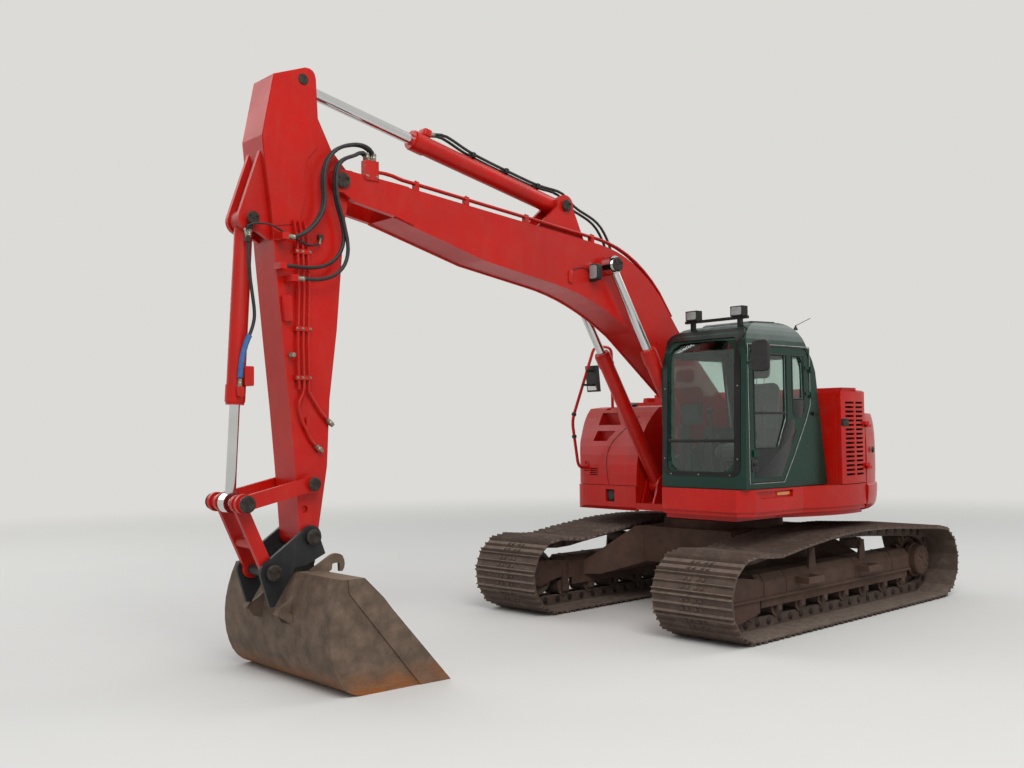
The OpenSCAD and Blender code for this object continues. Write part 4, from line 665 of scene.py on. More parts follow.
# The record's slot, the material's name, and the maker with its facts
MATERIALS = [
    ("body_paint", "red machinery enamel, sprayed", worn_enamel,
     dict(fresh="BE0F05", faded="A5150D", chipped="5B2A1C", dust="8C5A48", gloss=0.26)),
    ("cab_paint", "green cab enamel, sprayed", worn_enamel,
     dict(fresh="022A1F", faded="053328", chipped="2A2B28", dust="23423A", gloss=0.18)),
    ("black_paint", "black enamel, sprayed", worn_enamel,
     dict(fresh="0A0B0C", faded="131415", chipped="3A2E28", dust="403C38", gloss=0.3)),
    ("black_paint", "grey coupler enamel, sprayed", worn_enamel,
     dict(fresh="1B1C1E", faded="26282A", chipped="4A3A30", dust="5A524A", gloss=0.4)),
    ("rusty_steel", "undercarriage steel, welded and rusty", rolled_rusty_steel,
     dict(iron="4A362D", rust="5A4034", mud="75604F", size=120)),
    ("rusty_steel", "track steel, forged and rusty", rolled_rusty_steel,
     dict(iron="4C4039", rust="5C483E", mud="8A7B6E", size=50)),
    ("bucket_steel", "bucket wear plate, rolled", bucket_plate,
     dict(soil="544538", pale="786354", rust="94561F", bare="8F8377", dust="8A745C")),
    ("rod_chrome", "rod steel, hard chromed", hard_chrome, dict(bright="D2D3D3", oily="A9A6A0")),
    ("dark_steel", "pin steel, turned and oily", oily_iron,
     dict(light="443C36", dark="2A2420", metal=0.6, smooth=0.35)),
    ("dark_steel", "engine iron, cast", oily_iron, dict(light="4A4B4C", dark="2A2724", metal=0.3, smooth=0.5)),
    ("dark_steel", "hydraulic fitting, zinc plated", oily_iron,
     dict(light="A9A493", dark="6F695C", metal=0.9, smooth=0.25)),
    ("hose_rubber", "hose rubber, extruded", moulded, dict(fresh="101113", worn="2C2C2D", grain=3, smooth=0.45)),
    ("hose_rubber", "seal rubber, extruded", moulded, dict(fresh="0C0C0D", worn="242424", grain=2, smooth=0.55)),
    ("black_plastic", "black polypropylene, moulded", moulded,
     dict(fresh="17181A", worn="33332F", grain=2, smooth=0.5)),
    ("hose_rubber", "blue hose sleeve, woven", moulded, dict(fresh="2B5C93", worn="4E6F92", grain=3, smooth=0.6)),
    ("seat_cloth", "seat cloth, woven", woven_cloth, dict(low="17181B", high="3A3C40", worn="4B4945")),
    ("window_glass", "float glass, toughened", float_glass,
     dict(tint="D6E6E0", dust="A9A69C", dirt=0.25, shade="DDE5E2")),
    ("window_glass", "clear lamp lens, pressed", lamp_lens, dict(glass="A9AEAC", depth="6A6F70")),
    ("window_glass", "amber lamp lens, pressed", lamp_lens, dict(glass="E58A1E", depth="B65C0D")),
    ("window_glass", "tinted acrylic pane, cast", moulded, dict(fresh="0B100F", worn="161C1A", grain=2, smooth=0.06)),
    # light metal trim strip, which also stands for the painted highlight along the cab door's edge
    ("rod_chrome", "aluminium strip, extruded", oily_iron, dict(light="A4AAA4", dark="7D857F", metal=0.7, smooth=0.35)),
]
SLOTS = {name: slot for slot, name, maker, facts in MATERIALS}
(RED, GREEN, BLACK, COUPLER, RUSTY, TRACK, WEAR, CHROME, PIN, IRON, ZINC, HOSE, SEAL, PLASTIC, BLUE, CLOTH, GLASS, LENS,
 AMBER, TINTED, STRIP_AND_EDGE_HIGHLIGHT) = SLOTS

# Finish of each carried-over node
NODE_FINISH = {
    RUSTY: ["carbody", "tow_lugs", "track_frame_left", "track_frame_right", "final_drive_left", "final_drive_right"],
    TRACK: ["track_left", "track_right", "rollers_left", "rollers_right"],
    HOSE: ["arm_hose_1", "arm_hose_2", "arm_hose_3", "arm_hose_4"],
    RED: ["slewing_platform", "left_skirt", "left_rear_housing", "left_side_door", "counterweight", "lifting_bosses",
          "engine_hood", "right_front_housing", "right_rear_housing", "right_side_door", "handrail", "boom",
          "boom_pipes", "boom_cylinder_barrels", "arm_cylinder_barrel", "arm", "arm_pipes",
          "bucket_cylinder_barrel", "rocker_links", "bucket_link"],
    GREEN: ["cab_shell", "cab_door"],
    BLACK: ["lamp_bar", "cab_grab_rail"],
    COUPLER: ["quick_coupler"],
    WEAR: ["bucket"],
    CHROME: ["boom_cylinder_rods", "arm_cylinder_rod", "bucket_cylinder_rod"],
    IRON: ["engine", "swing_motor", "cooler"],
    PLASTIC: ["headlamp", "handrail_mirror", "cab_mirror", "cab_controls"],
    CLOTH: ["operator_seat"],
    GLASS: ["cab_windows", "cab_door_windows"],
}


# Sizes and colours that a user would change

class ExcavatorStage(bpy.types.PropertyGroup):
    """Camera, lamps and floor."""
    camera_place: FloatVectorProperty(name="Camera", description="Place of the camera", subtype="XYZ", unit="LENGTH",
                                      default=(9.594, 7.586, 1.924))
    camera_yaw: angle("Yaw", "Direction of view in plan, from +X", -130.783)
    camera_pitch: angle("Pitch", "Direction of view over the horizon", 2.373)
    camera_roll: angle("Roll", "Turn of the picture", -0.676)
    focal: FloatProperty(name="Focal length", description="Focal length for a 36 mm wide picture, in millimetres",
                         default=38.13)
    floor_radius: length("Floor", "Radius of the floor", 90.0)
    floor_near: length("Floor near", "Where the floor starts to turn into the background", 8.0)
    floor_far: length("Floor far", "Where the floor has turned into the background", 20.0)
    floor_colour: FloatVectorProperty(name="Floor colour", description="Colour of floor and background",
                                      subtype="COLOR", default=linear("DCDBD7")[:3])
    sky: FloatProperty(name="Sky light", description="Strength of the even light from all round", default=0.5)
    key: FloatProperty(name="Key lamp", description="Power of the large lamp in front, in watts", default=1500.0)
    fill: FloatProperty(name="Fill lamp", description="Power of the lamp on the other side, in watts", default=500.0)


def seen(tree):
    """1 for the rays that show the background: camera, transmission and glossy rays."""
    rays = add(tree, "ShaderNodeLightPath")
    shown = rays.outputs["Is Camera Ray"]
    for kind in ("Is Transmission Ray", "Is Glossy Ray"):
        shown = add(tree, "ShaderNodeMath", {0: shown, 1: rays.outputs[kind]}, operation="MAXIMUM").outputs[0]
    return shown


# Lamps: place, side of the square, and the stage's property that holds its power
LAMPS = {"Key lamp": ((9.0, 10.0, 12.0), 9.0, "key"), "Fill lamp": ((6.0, -12.0, 9.0), 10.0, "fill"),
         "Back lamp": ((-10.0, 4.0, 11.0), 9.0, "fill")}
MIDDLE = Vector((1.5, 0.0, 1.5))


class EXCAVATOR_OT_stage(bpy.types.Operator):
    """Adds the camera at the photograph's viewpoint, the floor, the background and the soft lamps"""
    bl_idname = "excavator.stage"
    bl_label = "Stage"

    def execute(self, context):
        stage = context.scene.excavator_stage
        pale = tuple(stage.floor_colour) + (1.0,)
        self.camera(context, stage)
        self.floor(stage, pale)
        self.background(context, stage, pale)
        for name, (place, size, power) in LAMPS.items():
            data = bpy.data.lights.new(name, "AREA")
            data.size, data.energy = size, getattr(stage, power)
            lamp = bpy.data.objects.new(name, data)
            turn = (MIDDLE - Vector(place)).to_track_quat("-Z", "Y").to_matrix().to_4x4()
            lamp.matrix_world = Matrix.Translation(place) @ turn
            context.scene.collection.objects.link(lamp)
        context.scene.view_settings.view_transform = "Standard"
        return {"FINISHED"}

    def camera(self, context, stage):
        """The view direction comes from yaw and pitch, and roll turns right and up about it."""
        yaw, pitch, roll = stage.camera_yaw, stage.camera_pitch, stage.camera_roll
        ahead = Vector((math.cos(pitch) * math.cos(yaw), math.cos(pitch) * math.sin(yaw), math.sin(pitch)))
        right = ahead.cross(Vector(UP)).normalized()
        up = right.cross(ahead)
        turned_right = math.cos(roll) * right + math.sin(roll) * up
        turned_up = math.cos(roll) * up - math.sin(roll) * right
        data = bpy.data.cameras.new("Camera")
        data.lens, data.sensor_width = stage.focal, 36.0
        camera = bpy.data.objects.new("Camera", data)
        camera.matrix_world = Matrix.Translation(stage.camera_place) @ Matrix(
            (turned_right, turned_up, -ahead)).transposed().to_4x4()
        context.scene.collection.objects.link(camera)
        context.scene.camera = camera

    def floor(self, stage, pale):
        """A flat disc, slightly mottled, that turns into the background's own colour away from the machine, so that
        no edge shows."""
        f = Finish("studio floor, painted")
        f.fill(Base_Color=f.over(pale, "C9C7C2", f.mask(900, 0.3, 0.7), 0.08), Roughness=0.8)
        away = f.add("ShaderNodeVectorMath", {0: f.place.outputs["Object"]}, operation="LENGTH")
        away = f.add("ShaderNodeMapRange", {"Value": away.outputs["Value"], "From Min": stage.floor_near,
                                            "From Max": stage.floor_far}, interpolation_type="SMOOTHSTEP")
        glow = f.add("ShaderNodeEmission", {"Color": pale, "Strength": 1.0})
        f.instead(f.times(away.outputs["Result"], seen(f.tree)), glow)
        rim = circle(stage.floor_radius, 96)
        mesh = bpy.data.meshes.new("floor")
        mesh.from_pydata(np.column_stack([rim, np.zeros(len(rim))]).tolist(), [], [list(range(len(rim)))])
        mesh.materials.append(f.material)
        floor = bpy.data.objects.new("floor", mesh)
        bpy.context.scene.collection.objects.link(floor)
        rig.stage(floor)

    def background(self, context, stage, pale):
        """The rays that show it see the pale background, and all others see a neutral sky."""
        world = bpy.data.worlds.new("Studio")
        world.use_nodes = True
        tree = world.node_tree
        tree.nodes.clear()
        sky = add(tree, "ShaderNodeBackground", {"Color": "F1F4F8", "Strength": stage.sky})
        shown = add(tree, "ShaderNodeBackground", {"Color": pale, "Strength": 1.0})
        mixed = add(tree, "ShaderNodeMixShader", {0: seen(tree), 1: sky.outputs[0], 2: shown.outputs[0]})
        add(tree, "ShaderNodeOutputWorld", {"Surface": mixed.outputs[0]})
        context.scene.world = world


class EXCAVATOR_OT_finishes(bpy.types.Operator):
    """Makes every material and gives each node of the frame its finish"""
    bl_idname = "excavator.finishes"
    bl_label = "Finishes"

    def execute(self, context):
        for slot, name, make, facts in MATERIALS:
            make(Finish(name), **facts)
        finished = set()
        for name, nodes in NODE_FINISH.items():
            for node in nodes:
                for slot in frame["nodes"][node].material_slots:
                    slot.material = bpy.data.materials[name]
                finished.add(node)
        bare = sorted(set(frame["nodes"]) - finished)
        if bare:
            raise RuntimeError(f"no finish for {bare}")
        return {"FINISHED"}


# Hoses: the routes are those of the part's source, as [x, z, distance outward from the first place]

HOSE_Y, HOSE_OUT = (0.184, 0.216), 0.056


def steady(points):
    """The part of a hose that runs at one distance beside the arm."""
    return [(x, z, HOSE_OUT) for x, z in points]


UPPER_HOSE = [
    (4.7, 4.12, 0), (4.7, 4.165, 0), (4.732, 4.21, 0.002), (4.792, 4.232, 0.008), (4.865, 4.23, 0.02),
    (4.94, 4.212, 0.036), (5.015, 4.185, 0.05)] + steady([
        (5.09, 4.14), (5.15, 4.07), (5.185, 3.985), (5.196, 3.895), (5.192, 3.81), (5.19, 3.725), (5.21, 3.64),
        (5.26, 3.555), (5.33, 3.48), (5.41, 3.43), (5.47, 3.411), (5.52, 3.411)])
LOW_START = [
    (4.756, 4.12, 0), (4.756, 4.145, 0), (4.782, 4.172, 0.002), (4.83, 4.172, 0.01), (4.885, 4.14, 0.025),
    (4.945, 4.115, 0.045)] + steady([
        (5.005, 4.085), (5.055, 4.04), (5.082, 3.965), (5.088, 3.88), (5.082, 3.79), (5.062, 3.7), (5.032, 3.61),
        (5.01, 3.52)])
LOWER_HOSE = LOW_START + steady([
    (5.005, 3.43), (5.032, 3.345), (5.092, 3.27), (5.175, 3.22), (5.27, 3.195), (5.37, 3.188), (5.43, 3.188),
    (5.52, 3.188)])
LOWEST_HOSE = LOW_START + steady([
    (4.99, 3.43), (4.986, 3.335), (5.015, 3.24), (5.08, 3.165), (5.165, 3.12), (5.255, 3.1), (5.34, 3.095),
    (5.44, 3.095)])
ARM_HOSES = [("arm_hose_1", UPPER_HOSE, HOSE_Y[0]), ("arm_hose_2", UPPER_HOSE, HOSE_Y[1]),
             ("arm_hose_3", LOWER_HOSE, HOSE_Y[0]), ("arm_hose_4", LOWEST_HOSE, HOSE_Y[1])]
# From the fitting on the arm's ear down to the bucket cylinder's gland
BUCKET_HOSE = [
    (5.762, 0.125, 3.455), (5.769, 0.126, 3.37), (5.77, 0.126, 3.29), (5.768, 0.126, 3.207), (5.762, 0.124, 3.14),
    (5.754, 0.12, 3.072), (5.742, 0.118, 3.0), (5.729, 0.116, 2.921), (5.719, 0.114, 2.85), (5.718, 0.112, 2.786),
    (5.732, 0.11, 2.72), (5.757, 0.109, 2.655), (5.785, 0.108, 2.59), (5.808, 0.107, 2.51), (5.822, 0.107, 2.43),
    (5.828, 0.104, 2.35), (5.83, 0.1, 2.265)]
# Thin hose that loops over the arm's head, between the side plate and the large hoses
PILOT_HOSE = [
    (5.79, 0.135, 3.4), (5.803, 0.143, 3.44), (5.79, 0.158, 3.478), (5.748, 0.175, 3.497), (5.681, 0.188, 3.503),
    (5.614, 0.198, 3.495), (5.529, 0.205, 3.459), (5.461, 0.209, 3.428), (5.42, 0.2125, 3.412), (5.374, 0.2125, 3.394),
    (5.32, 0.2125, 3.376), (5.27, 0.211, 3.372), (5.225, 0.204, 3.386), (5.195, 0.192, 3.41), (5.18, 0.176, 3.44)]
# Along the arm cylinder, as [distance from its base pin, distance over its axis], and then down to the boom
CYLINDER_RUN = [
    (1.6, 0.1), (1.545, 0.125), (1.49, 0.146), (1.42, 0.157), (1.34, 0.15), (1.24, 0.134), (1.14, 0.121), (1.0, 0.115),
    (0.85, 0.112), (0.7, 0.112), (0.55, 0.112), (0.42, 0.113), (0.3, 0.118), (0.18, 0.132), (0.06, 0.15)]
BOOM_DROP = [
    (2.4, 4.19), (2.31, 4.125), (2.21, 4.068), (2.1, 4.03), (1.99, 3.99), (1.9, 3.935), (1.83, 3.86), (1.775, 3.77),
    (1.745, 3.7), (1.737, 3.636)]
CYLINDER_BASE = np.array([2.462, 4.052])
CYLINDER_WAY = np.array([0.976, 0.2178])


def beside_cylinder(points):
    """Points [along, over] of the arm cylinder as points [x, z]."""
    p = np.asarray(points, float)
    over = np.array([-CYLINDER_WAY[1], CYLINDER_WAY[0]])
    return CYLINDER_BASE + p[:, :1] * CYLINDER_WAY + p[:, 1:] * over


# The boom's top and belly in side view, as [x, z]
BOOM_TOP = np.vstack([[(-0.15, 1.87), (0.93, 2.925)], curve((1.19, 3.246), (1.56, 3.65), (2.08, 3.712), 12),
                      [(4.42, 3.965)]])
BOOM_BELLY = np.vstack([[(4.48, 3.68), (3.515, 3.414)], curve((2.7, 3.28), (2.16, 3.2), (1.597, 2.856), 12),
                        [(0.02, 1.64)]])


def boom_top_z(x):
    """Height of the boom's top edge on its straight front part, which joins the last two points of its outline."""
    (x0, z0), (x1, z1) = BOOM_TOP[-2:]
    return z0 + (x - x0) * (z1 - z0) / (x1 - x0)


def even_route(points):
    """A cord's route as RINGS points at equal steps of a Catmull-Rom curve, and its length."""
    route = parted(smooth_path(points, 6), RINGS - 1)
    return route, float(arc_lengths(route)[-1])


def fitting(at, ahead, radius, collar):
    """A hexagon nut and a crimped collar that grips the hose in two rings."""
    r = radius * collar
    return placed(joined([
        lathe([(r * 1.12, 0), (r * 1.12, 0.016), (r, 0.019)], 6),
        lathe([(r * 0.94, 0.018), (r, 0.021), (r, 0.034), (r * 0.93, 0.036), (r * 0.93, 0.039), (r, 0.041),
               (r, 0.058), (radius * 1.04, 0.062)], 18)]), at, ahead)


class ExcavatorHoses(bpy.types.PropertyGroup):
    """Hydraulic hoses and their fittings."""
    arm_hose: length("Arm hose", "Radius of the hoses from the boom to the arm", 0.015)
    cylinder_hose: length("Cylinder hose", "Radius of the cylinders' hoses", 0.013)
    pilot_hose: length("Pilot hose", "Radius of the thin hoses", 0.008)
    sleeve: length("Sleeve", "Radius of the bucket hose's blue sleeve", 0.021)
    collar: FloatProperty(name="Collar", description="Radius of a crimped collar over the hose's radius", default=1.35)


class EXCAVATOR_OT_hoses(bpy.types.Operator):
    """Lays every free hose with its fittings"""
    bl_idname = "excavator.hoses"
    bl_label = "Hoses"

    def execute(self, context):
        sizes = context.scene.excavator_hoses
        over_nose = ("boom", "arm", (4.75, 0.2, 4.2), (5.35, 0.2, 3.45))
        for node, route, y in ARM_HOSES:
            points = [(x, y + out, z) for x, z, out in route]
            hose = self.lay(node + "_rubber", points, sizes.arm_hose, sizes.collar, over_nose)
            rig.replaces(hose, node)
        to_cylinder = ("arm", "bucket_cylinder_barrel", (5.76, 0.12, 3.3), (5.74, 0.12, 2.9))
        self.lay("bucket_hose", BUCKET_HOSE, sizes.cylinder_hose, sizes.collar, to_cylinder)
        sleeve = smooth_path(BUCKET_HOSE[11:], 5)[:-4]
        ripple = 1 + 0.03 * np.sin(np.arange(len(sleeve)) * 2.1)
        piece("bucket_hose_sleeve", sweep(sleeve, circle(sizes.sleeve, 14), growth=ripple), BLUE,
              "bucket_cylinder_barrel")
        self.lay("pilot_hose", PILOT_HOSE, sizes.pilot_hose, sizes.collar, "arm")
        over_base = ("arm_cylinder_barrel", "boom", (2.6, 0, 4.2), (2.1, 0, 4.0))
        run = np.vstack([beside_cylinder(CYLINDER_RUN), BOOM_DROP])
        for number, y in enumerate((-0.033, 0.033), 1):
            self.lay(f"arm_cylinder_hose_{number}", in_xz(run, y), sizes.cylinder_hose, sizes.collar, over_base)
        straight = np.linspace(2.2, 4.1, 9)
        top = np.vstack([BOOM_TOP[1:-1:2], np.stack([straight, boom_top_z(straight)], axis=1)]) + (0, 0.002)
        self.lay("boom_top_hose", in_xz(top, 0.062), sizes.pilot_hose * 1.2, sizes.collar, "boom")
        return {"FINISHED"}

    def lay(self, name, points, radius, collar, body):
        """A tube with its rings at equal steps of a Catmull-Rom curve through the route's points, and with a crimped
        fitting on each end."""
        route, run = even_route(points)
        hose = piece(name, tube(route, radius, 14, OUT), HOSE, body)
        ends = piece(name + "_fittings", [fitting(route[0], route[1] - route[0], radius, collar),
                                          fitting(route[-1], route[-2] - route[-1], radius, collar)], ZINC, body)
        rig.cord(hose, exit=tuple(points[0]), length=run, diameter=2 * radius, far_end="object", stiffness="stiff",
                lay="hanging", path=route.tolist(), with_pieces=[ends])
        return hose


# Outlines of the cab in side view, as [x, z], and the roof lamps' numbers and y

DOOR = np.vstack([[(1.42, 1.4), (1.42, 2.68), (0.455, 2.68)],
                  curve((0.455, 2.13), (0.52, 1.98), (0.6, 1.86), 4), [(0.75, 1.62), (0.9, 1.4)]])
FRONT_PANE = [(0.96, 1.72), (1.345, 1.72), (1.345, 2.6), (0.83, 2.6), (0.83, 1.99)]
REAR_PANE = [(0.55, 2.18), (0.74, 2.18), (0.74, 2.6), (0.55, 2.6)]
LOWER_GLAZING = [(0.945, 1.445), (1.345, 1.445), (1.345, 1.708), (0.955, 1.708), (0.822, 1.985), (0.72, 1.985),
                 (0.69, 1.87), (0.81, 1.66)]
REAR_GLAZING = [(0.6, 1.99), (0.71, 2.01), (0.74, 2.05), (0.74, 2.172), (0.55, 2.172), (0.55, 2.07)]
RIGHT_PANE = [(0.42, 1.9), (1.34, 1.62), (1.33, 2.6), (0.52, 2.6)]
ROOF_LAMPS = [(1, 0.67), (2, 1.22)]
# The outer faces of the door's skin and of its panes, as y
DOOR_Y, PANE_Y = 1.4485, 1.4505
# The windscreen frame's outer and inner rectangle: (width, height, corner), and the middle as (y, z)
SCREEN = [((0.935, 1.4, 0.09, 6), (0.9175, 2.155)), ((0.8, 1.25, 0.05, 6), (0.9125, 2.125))]
# Its rows: share of the way from the outer to the inner rectangle, and distance out of the cab's front
SCREEN_ROWS = [(0, -0.012), (0.015, 0.006), (0.88, 0.01), (1, -0.012)]
SCREEN_SCREWS = [(0.478, 1.62), (1.357, 1.62), (0.478, 2.3), (1.357, 2.3), (0.56, 1.47), (0.9, 1.47), (1.27, 1.47)]
MIRROR, MIRROR_GLASS = (1.45, 1.625, 2.565), (1.452, 1.625, 2.565)
MIRROR_ARM = [(1.435, 1.448, 2.513), (1.44, 1.49, 2.513), (1.45, 1.54, 2.52), (1.462, 1.58, 2.55)]
# The seat's stuffed pieces: (width, depth, thickness, crown, corner, channels), place, facing and own X
SEAT_Y, SEAT_LEAN = 0.945, (1, 0, 0.13)
SEAT_PADS = [
    ("seat_cushion", (0.5, 0.5, 0.15, 0.035, 0.09, (-0.13, 0.13)), (0.79, SEAT_Y, 1.6), (0.04, 0, 1), AHEAD),
    ("seat_back", (0.5, 0.48, 0.1, 0.03, 0.09, (-0.12, 0.12)), (0.556, SEAT_Y, 2.1), SEAT_LEAN, UP),
    ("headrest", (0.14, 0.25, 0.075, 0.015, 0.05, ()), (0.535, SEAT_Y, 2.465), SEAT_LEAN, UP)]


def cab_front(z):
    """x of the cab's front at height z: straight and leaning back, then curved into the roof."""
    bend = curve((1.45, 2.56), (1.44, 2.86), (1.15, 2.905), 24)
    return np.interp(z, np.concatenate([[1.345], bend[:, 1]]), np.concatenate([[1.49], bend[:, 0]]))


def rubber(outline, y, parts, radius):
    """A round strip along a closed outline [x, z] at this y."""
    return hoop(in_xz(subdivided(np.asarray(outline), parts), y), circle(radius, 8), OUT)


# Plates: each piece's name, material and body, and then (width, height, corner, thickness, edge), place, the way
# it faces and its own X for each of its plates

def plate(size, at, facing=UP, up=AHEAD):
    """A rounded plate in its place. A sixth number in its size is the count of points in a quarter corner."""
    width, height, corner, thick, edge = size[:5]
    return placed(slab(rounded_rectangle(width, height, corner, *size[5:]), thick, edge), at, facing, up)


def on_boom(x):
    """A place on the boom's top edge beside its middle, sunk a little."""
    return x, 0.062, boom_top_z(x) - 0.014


OVER_CYLINDER, ALONG_CYLINDER, OVER_BOOM = (-0.2178, 0, 0.976), (0.976, 0, 0.2178), (-0.108, 0, 0.994)
ARM_PLATES = [
    ("arm_cylinder_port", RED, "arm_cylinder_barrel",
     ((0.08, 0.11, 0.015, 0.06, 0.004), (4.026, 0, 4.482), OVER_CYLINDER, ALONG_CYLINDER)),
    ("arm_cylinder_clips", BLACK, "arm_cylinder_barrel",
     *(((0.04, 0.12, 0.01, 0.05, 0.003), (x - 0.017, 0, z + 0.076), OVER_CYLINDER, ALONG_CYLINDER)
       for x, z in beside_cylinder([(0.3, 0), (0.7, 0), (1.1, 0)]))),
    ("boom_port", RED, "boom", ((0.09, 0.16, 0.015, 0.075, 0.004), (1.745, 0, 3.57), (-0.36, 0, 0.93))),
    ("boom_hose_block", RED, "boom", ((0.08, 0.07, 0.01, 0.05, 0.004), on_boom(4.14), OVER_BOOM)),
    ("boom_hose_clips", BLACK, "boom",
     *(((0.03, 0.045, 0.008, 0.03, 0.003), on_boom(x), OVER_BOOM) for x in (2.45, 2.8, 3.3, 3.9))),
    ("bucket_cylinder_port", RED, "bucket_cylinder_barrel",
     ((0.15, 0.075, 0.012, 0.075, 0.004), (5.768, 0.06, 2.345), OUT, UP),
     ((0.075, 0.046, 0.01, 0.06, 0.004), (5.83, 0.07, 2.228), OUT, UP)),
    ("arm_ear_ports", PIN, "arm",
     ((0.05, 0.04, 0.008, 0.032, 0.003), (5.762, 0.108, 3.475), OUT),
     ((0.032, 0.05, 0.006, 0.042, 0.003), (5.782, 0.108, 3.385), OUT),
     ((0.045, 0.045, 0.008, 0.026, 0.003), (5.176, 0.159, 3.45), OUT)),
    ("boom_lamp", PLASTIC, "boom",
     ((0.12, 0.16, 0.03, 0.07, 0.014), (2.17, 0.27, 3.42), AHEAD, OUT),
     ((0.06, 0.05, 0.01, 0.05, 0.003), (2.19, 0.199, 3.36), OUT)),
    ("boom_lamp_lens", LENS, "boom", ((0.094, 0.13, 0.022, 0.006, 0.002), (2.238, 0.27, 3.42), AHEAD, OUT)),
    ("boom_side_cover", RED, "boom", ((0.06, 0.13, 0.029, 0.018, 0.006, 8), (2.476, 0.199, 3.362), OUT)),
]
CAB_PLATES = [
    ("windscreen_bar", BLACK, "house",
     ((0.8, 0.032, 0.006, 0.018, 0.004), (float(cab_front(1.79)) - 0.012, 0.9125, 1.79), AHEAD, OUT)),
    ("door_divider", SEAL, "cab_door", ((0.515, 0.022, 0.004, 0.012, 0.003), (1.0875, 1.443, 2.045), OUT)),
    ("door_handle_plate", PLASTIC, "cab_door", ((0.1, 0.11, 0.02, 0.009, 0.003), (1.355, 1.4495, 1.557), OUT)),
    ("door_stop", BLACK, "house", ((0.08, 0.035, 0.01, 0.025, 0.004), (0.385, 1.449, 2.04), OUT)),
    ("cab_mirror_glass", CHROME, "house", ((0.165, 0.265, 0.042, 0.004, 0.001, 8), MIRROR_GLASS, BACK, OUT)),
    *((f"roof_lamp_lens_{number}", LENS, "house",
       ((0.12, 0.076, 0.014, 0.007, 0.003), (1.282, y, 3.017), AHEAD, OUT)) for number, y in ROOF_LAMPS),
]
HOUSE_PLATES = [
    ("rail_mirror_glass", CHROME, "house", ((0.15, 0.27, 0.02, 0.004, 0.001), (0.799, -1.2, 2.49), AHEAD, OUT)),
    ("skirt_amber_lamp", AMBER, "house", ((0.2, 0.03, 0.008, 0.012, 0.004), (0.92, 1.441, 1.285), OUT)),
]


# Hardware

# Body, pin's x and z, y of its outer face, radius of its cap
PINS = [
    ("boom", 5.0, 3.92, 0.23, 0.062), ("boom", -0.06, 1.76, 0.24, 0.066),
    ("arm_cylinder_barrel", 2.462, 4.052, 0.15, 0.056), ("bucket_cylinder_barrel", 5.747, 3.544, 0.15, 0.05),
    ("boom_cylinder_rods", 2.03, 3.495, 0.394, 0.07), ("rocker_links", 5.294, 1.519, 0.27, 0.052),
    ("rocker_links", 5.863, 1.394, 0.28, 0.064), ("quick_coupler", 5.283, 1.11, 0.234, 0.062),
    ("quick_coupler", 5.622, 0.867, 0.234, 0.062)]
PIN_BODY = {"quick_coupler": "bucket"}
# Angles of a cap's bolts, and their distance from its middle as a share of its radius
CAP_BOLTS, CAP_BOLT_REACH = (0.6, 2.7, 4.8), 0.72
ARM_WELD = [(5.552, 4.649), (5.361, 4.601), (5.263, 4.503), (5.198, 4.339), (5.206, 4.162), (5.298, 4.05),
            (5.316, 3.912), (5.299, 3.799), (5.365, 3.54)]
NOSE_WELDS = [[(4.351, 3.955), (4.301, 3.645)], [(4.301, 3.642), (4.48, 3.69)]]
COUPLER_WELD = [(5.262, 0.962), (5.424, 0.93), (5.452, 0.878)]
ARM_TURNED = [("arm_eye_pins", PIN, "arm", [(0.0445, 0), (0.0445, 0.076), (0.041, 0.08)], 32,
               ((5.317, 0.087, 4.689), OUT), ((5.317, -0.087, 4.689), (0, -1, 0)))]
# The arm's two lowest pipes
PIPE_ENDS = [[(5.29, 2.3), (5.296, 2.24), (5.268, 2.19), (5.215, 2.113), (5.188, 2.074), (5.135, 2.02)],
             [(5.335, 2.3), (5.345, 2.22), (5.383, 2.13), (5.36, 2.02), (5.296, 1.896), (5.27, 1.849), (5.235, 1.815)]]
# From the boom's work lamp to the cover on the side plate
LAMP_CABLE = [(2.215, 0.212, 3.39), (2.232, 0.209, 3.425), (2.262, 0.206, 3.45), (2.3, 0.206, 3.46),
              (2.35, 0.206, 3.458), (2.4, 0.206, 3.446), (2.44, 0.207, 3.43), (2.474, 0.21, 3.408)]
CABLE_R, PIPE_R, PIPE_Y = 0.004, 0.012, 0.19


class ExcavatorHardware(bpy.types.PropertyGroup):
    """Bolts, pin caps, weld beads and trim."""
    cap_thick: length("Pin cap", "Thickness of a pin's cap", 0.014)
    pin_bolt: length("Pin bolt", "Width across the flats of a pin cap's bolts", 0.019)
    shoe_bolt: length("Shoe bolt", "Width across the flats of a track shoe's bolts", 0.03)
    weld: length("Weld", "Radius of a weld bead", 0.007)
    seal: length("Seal", "Radius of the rubber round a pane", 0.007)


